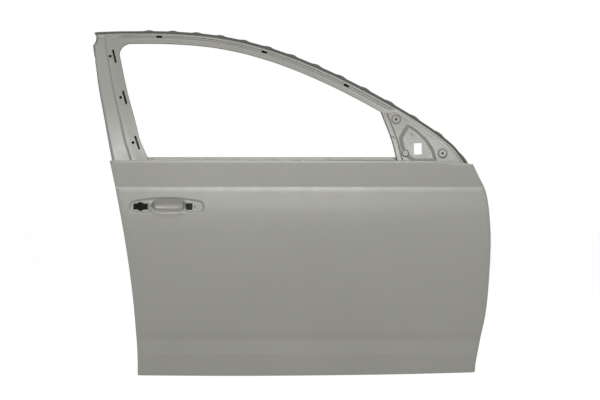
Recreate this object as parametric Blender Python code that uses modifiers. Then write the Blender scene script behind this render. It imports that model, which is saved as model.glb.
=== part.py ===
"""Shell of a car's right-hand front door: pressed panels, window frame and the steel inside them.

Metres. +X is the car's front, +Y its inside and +Z up. The origin is the upper hinge's seat on the front
wall, so the skin faces -Y and hangs about 60 mm outside the hinge.
"""
import math
import bmesh
import bpy
from mathutils import Matrix, Vector
from mathutils.geometry import delaunay_2d_cdt

# Sheet thicknesses, and the clearance between pieces that touch
SKIN_SHEET = 0.0008
INNER_SHEET = 0.0008
FRAME_SHEET = 0.0010
CHANNEL_SHEET = 0.0010
BELT_SHEET = 0.0008
PLATE_SHEET = 0.0018
MIRROR_SHEET = 0.0012
BRACKET_SHEET = 0.0016
FIT = 0.0003

# Edges of the skin seen from the side: (height, place along the car), from bottom to top
SKIN_REAR_EDGE = ((-0.470, -1.029), (-0.411, -1.029), (-0.321, -1.035), (-0.195, -1.047),
                  (-0.051, -1.068), (0.093, -1.095), (0.177, -1.113))
SKIN_FRONT_EDGE = ((-0.462, -0.017), (-0.357, 0.003), (-0.285, 0.018), (-0.195, 0.027), (-0.070, 0.033),
                   (0.003, 0.030), (0.057, 0.024), (0.093, 0.015), (0.129, -0.003), (0.165, -0.020))
# (place along the car, height), from rear to front
SKIN_BOTTOM_EDGE = ((-1.029, -0.471), (-0.690, -0.472), (-0.282, -0.468), (-0.017, -0.462))
BELT_EDGE = ((-1.113, 0.1765), (-0.930, 0.177), (-0.420, 0.1755), (-0.120, 0.174), (-0.020, 0.166))

# Cross-section of the skin: (height, distance outside the hinge line), and its bow along the car
SKIN_LOW = ((-0.475, 0.0495), (-0.408, 0.0540))
SKIN_SILL = ((-0.408, 0.0540), (-0.357, 0.0532))
SKIN_MAIN = ((-0.351, 0.0550), (-0.230, 0.0610), (-0.080, 0.0640), (0.020, 0.0625), (0.096, 0.0565))
SKIN_SHOULDER = ((0.096, 0.0565), (0.180, 0.0535))
SKIN_BOW = 0.006
BOW_CENTRE = -0.540
BOW_REACH = 0.570
HEM_RETURN = 0.009
BELT_RETURN = 0.012
BELT_REAR = 0.177
BELT_FRONT = 0.165

# Window frame seen from the side: the header's upper edge (along the car, height), and the B-pillar's edges
ROOF_LINE = ((-1.180, 0.576), (-1.090, 0.579), (-0.923, 0.5775), (-0.775, 0.562), (-0.626, 0.524),
             (-0.479, 0.466), (-0.333, 0.393), (-0.188, 0.307), (-0.079, 0.227), (-0.033, 0.169))
PILLAR_OUTER = ((0.187, -1.112), (0.300, -1.1346), (0.424, -1.1600), (0.535, -1.1783))
PILLAR_WINDOW = ((0.187, -1.0028), (0.209, -1.0125), (0.2387, -1.0256), (0.300, -1.0421), (0.3925, -1.0688),
                 (0.499, -1.0940))
SAIL_WINDOW = ((0.187, -0.2511), (0.2387, -0.2640), (0.3266, -0.2968))
HEADER_WIDTH = 0.040
SAIL_STRIP_WIDTH = 0.0205
SAIL_LAP = 0.0045
SAIL_GAP = 0.0008
NARROWING_START = 0.012
NARROWING_LENGTH = 0.022
WINDOW_CORNER = 0.034
CORNER_STEPS = (0.035, 0.075, 0.112)
SILL_HEIGHT = 0.1875
FRAME_FOOT = SILL_HEIGHT - 0.0695
FRAME_OUT = 0.012
FRAME_TUCK = SILL_HEIGHT - 0.0125
FRAME_TUCK_GAP = 0.002
LEAN = 0.14
LEAN_CURVE = 0.46
FRAME_DEPTH = 0.034
GLASS_SLOT = 0.018
GUIDE_DEPTH = 0.012
GUIDE_SETBACK = 0.0012
SCALLOP_PITCH = 0.0742
SCALLOP_FIRST = -1.007
SCALLOP_HEIGHT = 0.0030
HEADER_FRONT = -0.033

# Slots and holes in the frame: centre along the car and height, with the slot's lean from upright
PILLAR_SLOTS = ((-1.1101, 0.4985, 15.0), (-1.0740, 0.3693, 17.0), (-1.0333, 0.2309, 19.0))
PILLAR_SLOT_LENGTH = 0.044
HEADER_SLOTS = (-0.9737, -0.6442, -0.3899)
HEADER_SLOT_LENGTH = 0.018
HEADER_SLOT_INSET = 0.0190
SLOT_WIDTH = 0.0055
PILLAR_HOLE_OFFSET = 0.0125
PILLAR_HOLE = 0.0034
FRAME_CUT = 0.0150

# Mirror corner
MIRROR_BOSSES = ((-0.2479, 0.3020), (-0.1086, 0.1980), (-0.2208, 0.1986))
BOSS_PAD = 0.0105
BOSS_RIM = 0.0155
BOSS_HEIGHT = 0.0045
BOSS_BORE = 0.0034
MIRROR_POCKET = ((-0.2140, 0.2890), (-0.2400, 0.2480), (-0.2320, 0.2205), (-0.2040, 0.2160),
                 (-0.2010, 0.1880), (-0.1330, 0.1880), (-0.1410, 0.2123), (-0.1583, 0.2418),
                 (-0.1852, 0.2693))
POCKET_DEPTH = 0.005
POCKET_WALL = 0.007
MIRROR_WINDOW = (-0.1827, 0.2121)
MIRROR_WINDOW_WIDTH = 0.0230
MIRROR_WINDOW_HEIGHT = 0.0340
MIRROR_FOOT = 0.125
MIRROR_CUT = (-0.05, 0.08)
MIRROR_TOP = 0.322
MIRROR_TOP_SETBACK = 0.027
MIRROR_FRONT_SETBACK = 0.012

# Handle recess: centre, half length, half height above and below the centre, and its finger scoop
HANDLE_X = -0.9428
HANDLE_Z = 0.0400
HANDLE_HALF = 0.1148
HANDLE_UP = 0.0250
HANDLE_DOWN = 0.0240
HANDLE_BULGE = 0.0140
HANDLE_DEPTH = 0.0035
HANDLE_SLOPE = 0.22
SCOOP_X = HANDLE_X + 0.0083
SCOOP_Z = 0.0400
SCOOP_HALF = HANDLE_HALF - 0.0633
SCOOP_RISE = 0.0240
SCOOP_DEPTH = 0.0180
LOCK_X = HANDLE_X - HANDLE_HALF + 0.0386
LOCK_Z = 0.0375
LOCK_LENGTH = 0.0435
LOCK_HEIGHT = 0.0185
LOCK_RADIUS = 0.0135
SQUARE_X = HANDLE_X + HANDLE_HALF - 0.0450
SQUARE_Z = 0.0375
SQUARE_SIDE = 0.0200
PIN_X = SQUARE_X + 0.0165
PIN_HOLE = 0.0024

# Inner pan: where its face stands, and how far its walls stand in from the skin's edges
INNER_FACE = 0.050
REAR_INSET = 0.018
BOTTOM_INSET = 0.022
FRONT_INSET = 0.0105
FRONT_WALL = 0.0
WALL_TOP = SILL_HEIGHT - 0.0375
SHOULDER_TOP = FRAME_FOOT
SHOULDER_FOOT = SHOULDER_TOP - 0.0300
FIELD_STEP = 0.008
FIELD = (-0.945, -0.215, -0.245, 0.070)
CARRIER = (-0.900, -0.260, -0.205, 0.045)
CARRIER_CORNER = 0.055
SPEAKER = (-0.1500, -0.3380)
SPEAKER_RADIUS = 0.0800
SPEAKER_RIM = 0.0930
SPEAKER_STEP = 0.0050
ACCESS_HOLES = ((-0.960, -0.330, 0.022), (-0.780, -0.340, 0.018), (-0.520, -0.345, 0.030),
                (-0.980, 0.020, 0.015), (-0.330, -0.340, 0.015))
DRAIN_PLACES = (-0.900, -0.520, -0.150)
DRAIN_LENGTH = 0.030
DRAIN_WIDTH = 0.008

# Hinges, door check and latch
HINGE_SPACING = 0.270
HINGE_BOLTS = 0.044
HINGE_BOLT_HOLE = 0.0045
HINGE_PLATE = 0.090
HINGE_PLATE_OUT = 0.040
PLATE_LEG = 0.050
CHECK_HEIGHT = -0.130
CHECK_SLOT_HEIGHT = 0.034
CHECK_SLOT_WIDTH = 0.020
CHECK_BOLTS = 0.052
CHECK_BOLT_HOLE = 0.0034
CHECK_PLATE = 0.070
CHECK_PLATE_WIDTH = 0.044
HARNESS_HEIGHT = 0.114
HARNESS_HOLE = 0.016
LATCH_HEIGHT = -0.010
LATCH_ZONE = 0.100
LATCH_OPENING = 0.056
LATCH_OUT = 0.030
LATCH_IN = 0.012
LATCH_PLATE = 0.092
LATCH_PLATE_OUT = 0.042
LATCH_LEG = 0.035
CUT_REACH = 0.020

# Impact beam and its brackets
BEAM_RADIUS = 0.0135
BEAM_WALL = 0.0020
BEAM_OUT = 0.0365
BEAM_FRONT_HEIGHT = 0.072
BEAM_REAR_HEIGHT = -0.270
BEAM_END_GAP = 0.012
BRACKET_HEIGHT = 0.042
BRACKET_LENGTH = 0.090
BRACKET_FLANGE = 0.030
PAD_LENGTH = 0.036
PAD_HEIGHT = 0.020
PAD_PLACES = (0.2, 0.4, 0.6, 0.8)
PAD_CLEARANCE = 0.0006

# Belt reinforcements: hats that follow the skin and the inner panel
BELT_HAT_DEPTH = 0.014
BELT_HAT_HEIGHTS = (0.098, 0.112, 0.118, 0.146, 0.152)
BELT_END_GAP = 0.003
BELT_TOP_GAP = 0.002
INNER_HAT_DEPTH = 0.014
INNER_HAT_HEIGHTS = tuple(SILL_HEIGHT - drop for drop in (0.0635, 0.0515, 0.0455, 0.0155, 0.0095))
INNER_HAT_ENDS = (-0.985, -0.285)
GUIDE_FOOT = -0.250
GUIDE_STEP = 0.050
SAIL_GUIDE_STEP = 0.035

# Handle bracket
HANDLE_BRACKET_HEIGHT = 0.030
HANDLE_BRACKET_STANDOFF = 0.004
HANDLE_BRACKET_MARGIN = 0.003
HANDLE_CUT = (-0.09, 0.0)

# Nuts: across flats, thickness and bore
HINGE_NUT = (0.0130, 0.0065, 0.0041)
SMALL_NUT = (0.0100, 0.0050, 0.0031)

# Mesh spacings
EDGE_STEP = 0.045
FACE_STEP = 0.072
RING_POINTS = 28
TINY = 1e-6

PRIMER = (0.315, 0.308, 0.275)
BARE_STEEL = (0.42, 0.42, 0.41)
MASTIC = (0.08, 0.08, 0.08)


def smooth(points, place):
    """Value at one place of the smooth curve through (place, value) points, straight past its ends."""
    places = [point[0] for point in points]
    values = [point[1] for point in points]
    last = len(points) - 1
    slopes = []
    for k in range(len(points)):
        low, high = max(k - 1, 0), min(k + 1, last)
        slopes.append((values[high] - values[low]) / (places[high] - places[low]))
    if place <= places[0]:
        return values[0] + slopes[0] * (place - places[0])
    if place >= places[last]:
        return values[last] + slopes[last] * (place - places[last])
    k = next(i for i in range(last) if place <= places[i + 1])
    span = places[k + 1] - places[k]
    t = (place - places[k]) / span
    rise = values[k + 1] - values[k]
    bend_low = slopes[k] * span - rise
    bend_high = rise - slopes[k + 1] * span
    return values[k] + t * rise + t * (1 - t) * ((1 - t) * bend_low + t * bend_high)


def lerp(low, high, share):
    return low + (high - low) * share


def ease(share):
    """A soft step from 0 to 1."""
    share = min(max(share, 0.0), 1.0)
    return share * share * (3 - 2 * share)


def spaced(start, stop, step):
    """Even places from start to stop, both kept, no further apart than step."""
    count = max(1, math.ceil(abs(stop - start) / step - TINY))
    return [lerp(start, stop, k / count) for k in range(count + 1)]


def rear_edge(z):
    return smooth(SKIN_REAR_EDGE, z)


def front_edge(z):
    return smooth(SKIN_FRONT_EDGE, z)


def bottom_edge(x):
    return smooth(SKIN_BOTTOM_EDGE, x)


def belt_edge(x):
    return smooth(BELT_EDGE, x)


def rear_wall(z):
    """Outside of the inner pan's rear wall: it follows the edge, and is straight beside the latch."""
    low, high = LATCH_HEIGHT - LATCH_ZONE / 2, LATCH_HEIGHT + LATCH_ZONE / 2
    if low < z < high:
        return lerp(rear_edge(low), rear_edge(high), (z - low) / (high - low)) + REAR_INSET
    return rear_edge(z) + REAR_INSET


def front_wall(z):
    """Outside of the front wall: upright at the hinges, and held back where the door narrows."""
    return min(FRONT_WALL, front_edge(z) - FRONT_INSET)


def bottom_wall(x):
    return bottom_edge(x) + BOTTOM_INSET


def recess_depth(x, z):
    """Depth of the handle recess and its finger scoop at one place of the skin."""
    across, up = recess_axes(x, z)
    edge = (abs(across) ** 5 + abs(up) ** 5) ** 0.2
    depth = HANDLE_DEPTH * ease((1 - edge) / HANDLE_SLOPE)
    round_x = (x - SCOOP_X) / SCOOP_HALF
    round_z = (z - SCOOP_Z) / SCOOP_RISE
    inside = 1 - round_x ** 2 - round_z ** 2
    if inside > 0:
        depth += SCOOP_DEPTH * inside ** 0.75
    return depth


def recess_axes(x, z):
    """Place in the recess as shares of its half length and half height."""
    across = (x - HANDLE_X) / HANDLE_HALF
    bulge = HANDLE_BULGE * math.exp(-((x - SCOOP_X) / SCOOP_HALF) ** 2 * 1.4)
    reach = HANDLE_UP if z > HANDLE_Z else HANDLE_DOWN + bulge
    return across, (z - HANDLE_Z) / reach


def skin_out(z):
    """Distance of the skin outside the hinge line at one height, at the middle of the bow."""
    if z < SKIN_LOW[-1][0]:
        return smooth(SKIN_LOW, z)
    if z < SKIN_SILL[-1][0]:
        return smooth(SKIN_SILL, z)
    if z < SKIN_MAIN[0][0]:
        return lerp(SKIN_SILL[-1][1], SKIN_MAIN[0][1],
                    (z - SKIN_SILL[-1][0]) / (SKIN_MAIN[0][0] - SKIN_SILL[-1][0]))
    if z < SKIN_MAIN[-1][0]:
        return smooth(SKIN_MAIN, z)
    return smooth(SKIN_SHOULDER, z)


def skin_plain(x, z):
    """Outer surface of the skin without the handle recess."""
    return -skin_out(z) + SKIN_BOW * ((x - BOW_CENTRE) / BOW_REACH) ** 2


def skin_face(x, z):
    return skin_plain(x, z) + recess_depth(x, z)


def behind_skin(x, z):
    """Where a sheet begins that lies against the back of the skin."""
    return skin_plain(x, z) + SKIN_SHEET + FIT


def frame_face(z):
    """Outer face of the window frame: it leans inwards as it rises, as the glass does."""
    rise = z - SILL_HEIGHT
    return -FRAME_OUT + LEAN * rise + LEAN_CURVE * rise * rise


def frame_slope(z):
    return LEAN + 2 * LEAN_CURVE * (z - SILL_HEIGHT)


BELT_FACE = frame_face(SILL_HEIGHT) + FRAME_DEPTH + FRAME_SHEET + FIT


def in_box(x, z, box, corner):
    """Distance inside a rounded rectangle, below zero outside it."""
    left, right, low, high = box
    off_x = abs(x - (left + right) / 2) - (right - left) / 2 + corner
    off_z = abs(z - (low + high) / 2) - (high - low) / 2 + corner
    outside = math.hypot(max(off_x, 0.0), max(off_z, 0.0)) + min(max(off_x, off_z), 0.0)
    return corner - outside


def inner_face(x, z):
    """Outboard surface of the inner panel's face, with its shoulder and its two stamped fields."""
    depth = lerp(INNER_FACE, BELT_FACE, (z - SHOULDER_FOOT) / (SHOULDER_TOP - SHOULDER_FOOT))
    depth = min(max(depth, BELT_FACE), INNER_FACE)
    share = in_box(x, z, FIELD, CARRIER_CORNER) / FIELD_STEP
    depth -= FIELD_STEP * min(max(share, 0.0), 1.0)
    ring = SPEAKER_RIM - math.hypot(x - SPEAKER[0], z - SPEAKER[1])
    return depth + SPEAKER_STEP * min(max(ring / SPEAKER_STEP, 0.0), 1.0)


def body_path(rear, bottom, front, rear_top, front_top):
    """Outline of the door's body below the belt: down the rear edge, along the bottom and up the front."""
    x, z = rear(-0.4), 0.0
    for _ in range(6):
        z = bottom(x)
        x = rear(z)
    rear_corner = (x, z)
    x = front(-0.4)
    for _ in range(6):
        z = bottom(x)
        x = front(z)
    front_corner = (x, z)
    latch = (LATCH_HEIGHT - LATCH_ZONE / 2, LATCH_HEIGHT + LATCH_ZONE / 2, WALL_TOP)
    hinge = (-HINGE_SPACING - HINGE_PLATE / 2, WALL_TOP)
    path = [(rear(z), z) for z in reversed(edge_heights(rear_corner[1], rear_top, latch))]
    parts = math.ceil((SKIN_BOTTOM_EDGE[-1][0] - SKIN_BOTTOM_EDGE[0][0]) / EDGE_STEP)
    along = [lerp(rear_corner[0], front_corner[0], k / parts) for k in range(1, parts)]
    path += [(x, bottom(x)) for x in along]
    path += [(front(z), z) for z in edge_heights(front_corner[1], front_top, hinge)]
    return path


def inset_path(distance, rear_top, front_top):
    """Outline of the body drawn in from the skin's edges, with its points at the same heights."""
    return body_path(lambda z: rear_edge(z) + distance, lambda x: bottom_edge(x) + distance,
                     lambda z: front_edge(z) - distance, rear_top, front_top)


def crease_heights():
    """Heights of the skin's creases, where every edge and flange needs a point of its own."""
    return (SKIN_LOW[-1][0], SKIN_SILL[-1][0], SKIN_MAIN[0][0], SKIN_MAIN[-1][0])


def edge_heights(low, high, others):
    """Heights up one edge from low to high, through the creases and other marks between them."""
    marks = sorted({high, *(z for z in (*crease_heights(), *others) if low < z < high)})
    heights = [low, marks[0]]
    for start, stop in zip(marks, marks[1:]):
        heights += spaced(start, stop, EDGE_STEP)[1:]
    return heights


def ring(centre, radius, points):
    return [(centre[0] + radius * math.cos(2 * math.pi * k / points),
             centre[1] + radius * math.sin(2 * math.pi * k / points)) for k in range(points)]


def rounded_box(box, corner, arc=4, step=None):
    """Counter-clockwise rounded rectangle (left, right, low, high), its straight sides cut into steps."""
    left, right, low, high = box
    centres = ((right - corner, low + corner, -90), (right - corner, high - corner, 0),
               (left + corner, high - corner, 90), (left + corner, low + corner, 180))
    outline = []
    for x, z, start in centres:
        for k in range(arc + 1):
            angle = math.radians(start + 90 * k / arc)
            outline.append((x + corner * math.cos(angle), z + corner * math.sin(angle)))
    if step is None:
        return outline
    filled = []
    for k, point in enumerate(outline):
        following = outline[(k + 1) % len(outline)]
        parts = max(1, math.ceil(math.dist(point, following) / step - TINY))
        filled += [(lerp(point[0], following[0], j / parts), lerp(point[1], following[1], j / parts))
                   for j in range(parts)]
    return filled


def inside(point, outline):
    """True where a point lies inside a closed outline."""
    x, z = point
    within = False
    for k, (x0, z0) in enumerate(outline):
        x1, z1 = outline[k - 1]
        if (z0 > z) != (z1 > z) and x < x0 + (z - z0) * (x1 - x0) / (z1 - z0):
            within = not within
    return within


def metal(name, colour, roughness, metallic):
    material = bpy.data.materials.new(name)
    material.use_nodes = True
    shader = material.node_tree.nodes["Principled BSDF"]
    shader.inputs["Base Color"].default_value = (*colour, 1.0)
    shader.inputs["Roughness"].default_value = roughness
    shader.inputs["Metallic"].default_value = metallic
    return material


def finish(bm, name, collection, material, outward=None):
    """Make an object of a bmesh whose first face, if told, looks along outward."""
    bmesh.ops.recalc_face_normals(bm, faces=bm.faces)
    bm.faces.ensure_lookup_table()
    if outward is not None and bm.faces[0].normal.dot(Vector(outward)) < 0:
        bmesh.ops.reverse_faces(bm, faces=bm.faces)
    mesh = bpy.data.meshes.new(name)
    bm.to_mesh(mesh)
    bm.free()
    if material:
        mesh.materials.append(material)
    piece = bpy.data.objects.new(name, mesh)
    collection.objects.link(piece)
    return piece


def thicken(piece, thickness):
    """Give an open sheet its thickness, on the side away from its normals."""
    solid = piece.modifiers.new("Sheet", "SOLIDIFY")
    solid.thickness = thickness
    solid.offset = -1
    solid.use_even_offset = True
    solid.use_quality_normals = True


def extrude_chain(bm, chain, targets):
    """Extrude a chain of vertices to its target places, and return the new chain."""
    edges = [bm.edges.get((chain[k], chain[k + 1])) for k in range(len(chain) - 1)]
    made = bmesh.ops.extrude_edge_only(bm, edges=edges)["geom"]
    fresh = [item for item in made if isinstance(item, bmesh.types.BMVert)]
    moved = []
    for old in chain:
        moved.append(min(fresh, key=lambda vert: (vert.co - old.co).length))
    for vert, place in zip(moved, targets):
        vert.co = place
    return moved


def stamped_sheet(outline, height, rings=(), lines=(), holes=(), keep_clear=()):
    """Triangulate a flat outline with its features as edges, lift it to its height, and return it.

    rings are closed features, lines are open ones, and holes are left out of the sheet. The outline's own
    vertices are returned in order, for flanges to be drawn from.
    """
    points = []
    edges = []
    for path, closed in [(outline, True)] + [(loop, True) for loop in (*rings, *holes)] + \
            [(line, False) for line in lines]:
        first = len(points)
        points += path
        edges += [(first + k, first + k + 1) for k in range(len(path) - 1)]
        if closed:
            edges.append((first + len(path) - 1, first))
    xs = [point[0] for point in outline]
    zs = [point[1] for point in outline]
    fixed = list(points)
    for row, z in enumerate(spaced(min(zs), max(zs), FACE_STEP * 0.87)):
        shift = FACE_STEP / 2 * (row % 2)
        for x in spaced(min(xs) + shift, max(xs) - FACE_STEP / 2 + shift, FACE_STEP):
            spot = (x, z)
            if not inside(spot, outline) or any(inside(spot, hole) for hole in (*holes, *keep_clear)):
                continue
            if min(math.dist(spot, other) for other in fixed) > FACE_STEP * 0.55:
                points.append(spot)
    result = delaunay_2d_cdt([Vector(point) for point in points], edges, [], 0, TINY)
    flat, _, faces, sources = result[0], result[1], result[2], result[3]
    bm = bmesh.new()
    verts = [bm.verts.new((point.x, height(point.x, point.y), point.y)) for point in flat]
    for face in faces:
        middle = (sum(flat[k].x for k in face) / len(face), sum(flat[k].y for k in face) / len(face))
        if inside(middle, outline) and not any(inside(middle, hole) for hole in holes):
            bm.faces.new([verts[k] for k in face])
    chain = [None] * len(outline)
    for made, origins in enumerate(sources):
        for origin in origins:
            if origin < len(outline):
                chain[origin] = verts[made]
    loose = [vert for vert in bm.verts if not vert.link_faces]
    bmesh.ops.delete(bm, geom=loose, context="VERTS")
    return bm, chain


def swept_sheet(columns, rows, place):
    """A grid whose vertex in column i and row j stands at place(i, j)."""
    bm = bmesh.new()
    bmesh.ops.create_grid(bm, x_segments=columns, y_segments=rows, size=1)
    for vert in bm.verts:
        vert.co = place(round((vert.co.x + 1) / 2 * columns), round((vert.co.y + 1) / 2 * rows))
    return bm


def prism(bm, outline, low, high, turn=None):
    """Add a closed prism: an outline in the XZ plane drawn along Y from low to high."""
    verts = [bm.verts.new((x, low, z)) for x, z in outline]
    face = bm.faces.new(verts)
    drawn = bmesh.ops.extrude_face_region(bm, geom=[face])["geom"]
    top = [item for item in drawn if isinstance(item, bmesh.types.BMVert)]
    bmesh.ops.translate(bm, verts=top, vec=(0, high - low, 0))
    if turn is not None:
        bmesh.ops.transform(bm, matrix=turn, verts=verts + top)


def slot_outline(centre, length, width, angle):
    """Round-ended slot around its centre; angle is its lean from the X axis, in degrees."""
    half = (length - width) / 2
    turn = math.radians(angle)
    outline = []
    for side, start in ((1, -90), (-1, 90)):
        for k in range(7):
            arc = math.radians(start + 30 * k)
            x = side * half + width / 2 * math.cos(arc)
            z = width / 2 * math.sin(arc)
            outline.append((centre[0] + x * math.cos(turn) - z * math.sin(turn),
                            centre[1] + x * math.sin(turn) + z * math.cos(turn)))
    return outline


class Door:
    """The collections and materials that the pieces share."""

    def __init__(self):
        self.parts = bpy.data.collections.new("Door shell")
        self.tools = bpy.data.collections.new("Cutters")
        bpy.context.scene.collection.children.link(self.parts)
        bpy.context.scene.collection.children.link(self.tools)
        self.primer = metal("Grey primer", PRIMER, 0.5, 0.0)
        self.steel = metal("Bare steel", BARE_STEEL, 0.4, 1.0)
        self.mastic = metal("Mastic", MASTIC, 0.9, 0.0)

    def add(self, bm, name, material=None, outward=None):
        return finish(bm, name, self.parts, material or self.primer, outward)

    def sheet(self, bm, name, thickness, outward=(0, -1, 0)):
        piece = self.add(bm, name, None, outward)
        thicken(piece, thickness)
        return piece

    def cut(self, piece, bm):
        """Cut a piece with the closed solids in a bmesh."""
        cutter = finish(bm, piece.name + "_cutter", self.tools, None)
        cutter.hide_render = True
        cutter.display_type = "WIRE"
        tool = piece.modifiers.new("Cut-outs", "BOOLEAN")
        tool.operation = "DIFFERENCE"
        tool.solver = "EXACT"
        tool.object = cutter


def lift(path, face):
    """Points of a flat path raised to a face."""
    return [(x, face(x, z), z) for x, z in path]


def recess_ring(share, points=RING_POINTS * 2):
    """Outline of the handle recess, shrunk to a share of its size."""
    outline = []
    for k in range(points):
        angle = 2 * math.pi * k / points
        across = math.copysign(abs(math.cos(angle)) ** 0.4, math.cos(angle)) * share
        up = math.copysign(abs(math.sin(angle)) ** 0.4, math.sin(angle)) * share
        x = HANDLE_X + HANDLE_HALF * across
        probe = HANDLE_Z + math.copysign(TINY, up)
        reach = TINY / abs(recess_axes(x, probe)[1])
        outline.append((x, HANDLE_Z + reach * up))
    return outline


def scoop_ring(share, points=20):
    return [(SCOOP_X + SCOOP_HALF * share * math.cos(2 * math.pi * k / points),
             SCOOP_Z + SCOOP_RISE * share * math.sin(2 * math.pi * k / points)) for k in range(points)]


def lock_outline():
    """Slot with a round bulge in its middle, for the lock cylinder."""
    half_length, half_height = LOCK_LENGTH / 2, LOCK_HEIGHT / 2
    reach = math.degrees(math.asin(half_height / LOCK_RADIUS))
    outline = [(LOCK_X + half_length, LOCK_Z - half_height), (LOCK_X + half_length, LOCK_Z + half_height)]
    for side in (0, 180):
        for k in range(7):
            angle = math.radians(side + lerp(reach, 180 - reach, k / 6))
            outline.append((LOCK_X + LOCK_RADIUS * math.cos(angle), LOCK_Z + LOCK_RADIUS * math.sin(angle)))
        if side == 0:
            outline += [(LOCK_X - half_length, LOCK_Z + half_height),
                        (LOCK_X - half_length, LOCK_Z - half_height)]
    return outline


def square_outline():
    half = SQUARE_SIDE / 2
    return rounded_box((SQUARE_X - half, SQUARE_X + half, SQUARE_Z - half, SQUARE_Z + half), 0.0015, arc=1)


def make_outer_panel(door):
    """The skin: creases, handle recess and holes, with a hem round three sides and a flange at the belt."""
    belt_rear, belt_front = belt_edge(rear_edge(BELT_REAR)), belt_edge(front_edge(BELT_FRONT))
    edge = body_path(rear_edge, bottom_edge, front_edge, belt_rear, belt_front)
    top = [(x, belt_edge(x)) for x in spaced(edge[-1][0], edge[0][0], EDGE_STEP)[1:-1]]
    creases = []
    for z in crease_heights():
        creases.append([(x, z) for x in spaced(rear_edge(z), front_edge(z), EDGE_STEP)])
    rings = [recess_ring(share) for share in (1.0, 1 - HANDLE_SLOPE / 2, 1 - HANDLE_SLOPE)]
    rings += [scoop_ring(share) for share in (1.0, 0.92, 0.70, 0.38)]
    holes = [lock_outline(), square_outline(), ring((PIN_X, SQUARE_Z), PIN_HOLE, 8)]
    lines = creases + [pan_walls()]
    bm, chain = stamped_sheet(edge + top, skin_face, rings, lines, holes, [recess_ring(1.15)])
    side = chain[:len(edge)]
    rim = extrude_chain(bm, side, [(v.co.x, v.co.y + hem_height(INNER_SHEET), v.co.z) for v in side])
    inner = inset_path(HEM_RETURN, belt_rear, belt_front)
    extrude_chain(bm, rim, [(x, skin_plain(x, z) + hem_height(INNER_SHEET), z) for x, z in inner])
    belt = chain[len(edge):]
    fold = extrude_chain(bm, belt, [(v.co.x, v.co.y + hem_height(BELT_SHEET), v.co.z) for v in belt])
    extrude_chain(bm, fold, [(v.co.x, skin_plain(v.co.x, v.co.z - BELT_RETURN) + hem_height(BELT_SHEET),
                              v.co.z - BELT_RETURN) for v in fold])
    return door.sheet(bm, "outer_panel", SKIN_SHEET)


def hem_height(held_sheet):
    """How far a hem folds round the sheet that it holds, over both thicknesses of skin."""
    return 2 * SKIN_SHEET + held_sheet + 2 * FIT


def pan_walls():
    """Inside of the inner pan's walls, where they stand on the skin's back."""
    return body_path(lambda z: rear_wall(z) + INNER_SHEET, lambda x: bottom_wall(x) + INNER_SHEET,
                     lambda z: front_wall(z) - INNER_SHEET, WALL_TOP, WALL_TOP)


def make_inner_panel(door):
    """The pan: a stamped face, walls on three sides, and a flange that the skin is hemmed over."""
    wall = pan_walls()
    foot = inset_path(SKIN_SHEET + FIT, WALL_TOP, WALL_TOP)
    front_top = (frame_outer_x(SILL_HEIGHT) - HEADER_WIDTH / 2, SILL_HEIGHT)
    rear_top = (smooth(PILLAR_OUTER, SILL_HEIGHT) + REAR_INSET, SILL_HEIGHT)
    top = [(x, SILL_HEIGHT) for x in spaced(front_top[0], rear_top[0], EDGE_STEP)]
    carrier = rounded_box(CARRIER, CARRIER_CORNER, step=EDGE_STEP * 1.6)
    left, right, low, high = FIELD
    outer_field = rounded_box(FIELD, CARRIER_CORNER, step=EDGE_STEP * 1.6)
    step = FIELD_STEP
    inner_field = rounded_box((left + step, right - step, low + step, high - step), CARRIER_CORNER - step,
                              step=EDGE_STEP * 1.6)
    rings = [outer_field, inner_field, ring(SPEAKER, SPEAKER_RIM, RING_POINTS),
             ring(SPEAKER, SPEAKER_RIM - SPEAKER_STEP, RING_POINTS)]
    holes = [carrier, ring(SPEAKER, SPEAKER_RADIUS, RING_POINTS)]
    holes += [ring((x, z), radius, 12) for x, z, radius in ACCESS_HOLES]
    lines = []
    for z in (SHOULDER_FOOT, SHOULDER_TOP):
        places = spaced(rear_wall(z) + EDGE_STEP * 0.3, front_wall(z) - EDGE_STEP * 0.3, EDGE_STEP * 1.4)
        lines.append([(x, z) for x in places])
    bm, chain = stamped_sheet(wall + top, inner_face, rings, lines, holes)
    side = chain[:len(wall)]
    walls = extrude_chain(bm, side, lift([(v.co.x, v.co.z) for v in side], behind_skin))
    extrude_chain(bm, walls, lift(foot, behind_skin))
    panel = door.sheet(bm, "inner_panel", INNER_SHEET)
    door.cut(panel, inner_cuts())
    return panel


def along_x(bm, centre, radius, low, high, segments=12):
    """Add a closed cylinder along X, around the centre (y, z), from low to high."""
    middle = Matrix.Translation(((low + high) / 2, centre[0], centre[1]))
    matrix = middle @ Matrix.Rotation(math.pi / 2, 4, "Y")
    bmesh.ops.create_cone(bm, cap_ends=True, segments=segments, radius1=radius, radius2=radius,
                          depth=high - low, matrix=matrix)


def block(bm, low, high):
    """Add a closed box between two corners."""
    size = [high[k] - low[k] for k in range(3)]
    middle = [(high[k] + low[k]) / 2 for k in range(3)]
    bmesh.ops.create_cube(bm, size=1, matrix=Matrix.Translation(middle) @ Matrix.Diagonal((*size, 1)))


def hinge_bolt_heights():
    return [hinge + side * HINGE_BOLTS / 2 for hinge in (0.0, -HINGE_SPACING) for side in (-1, 1)]


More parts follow.
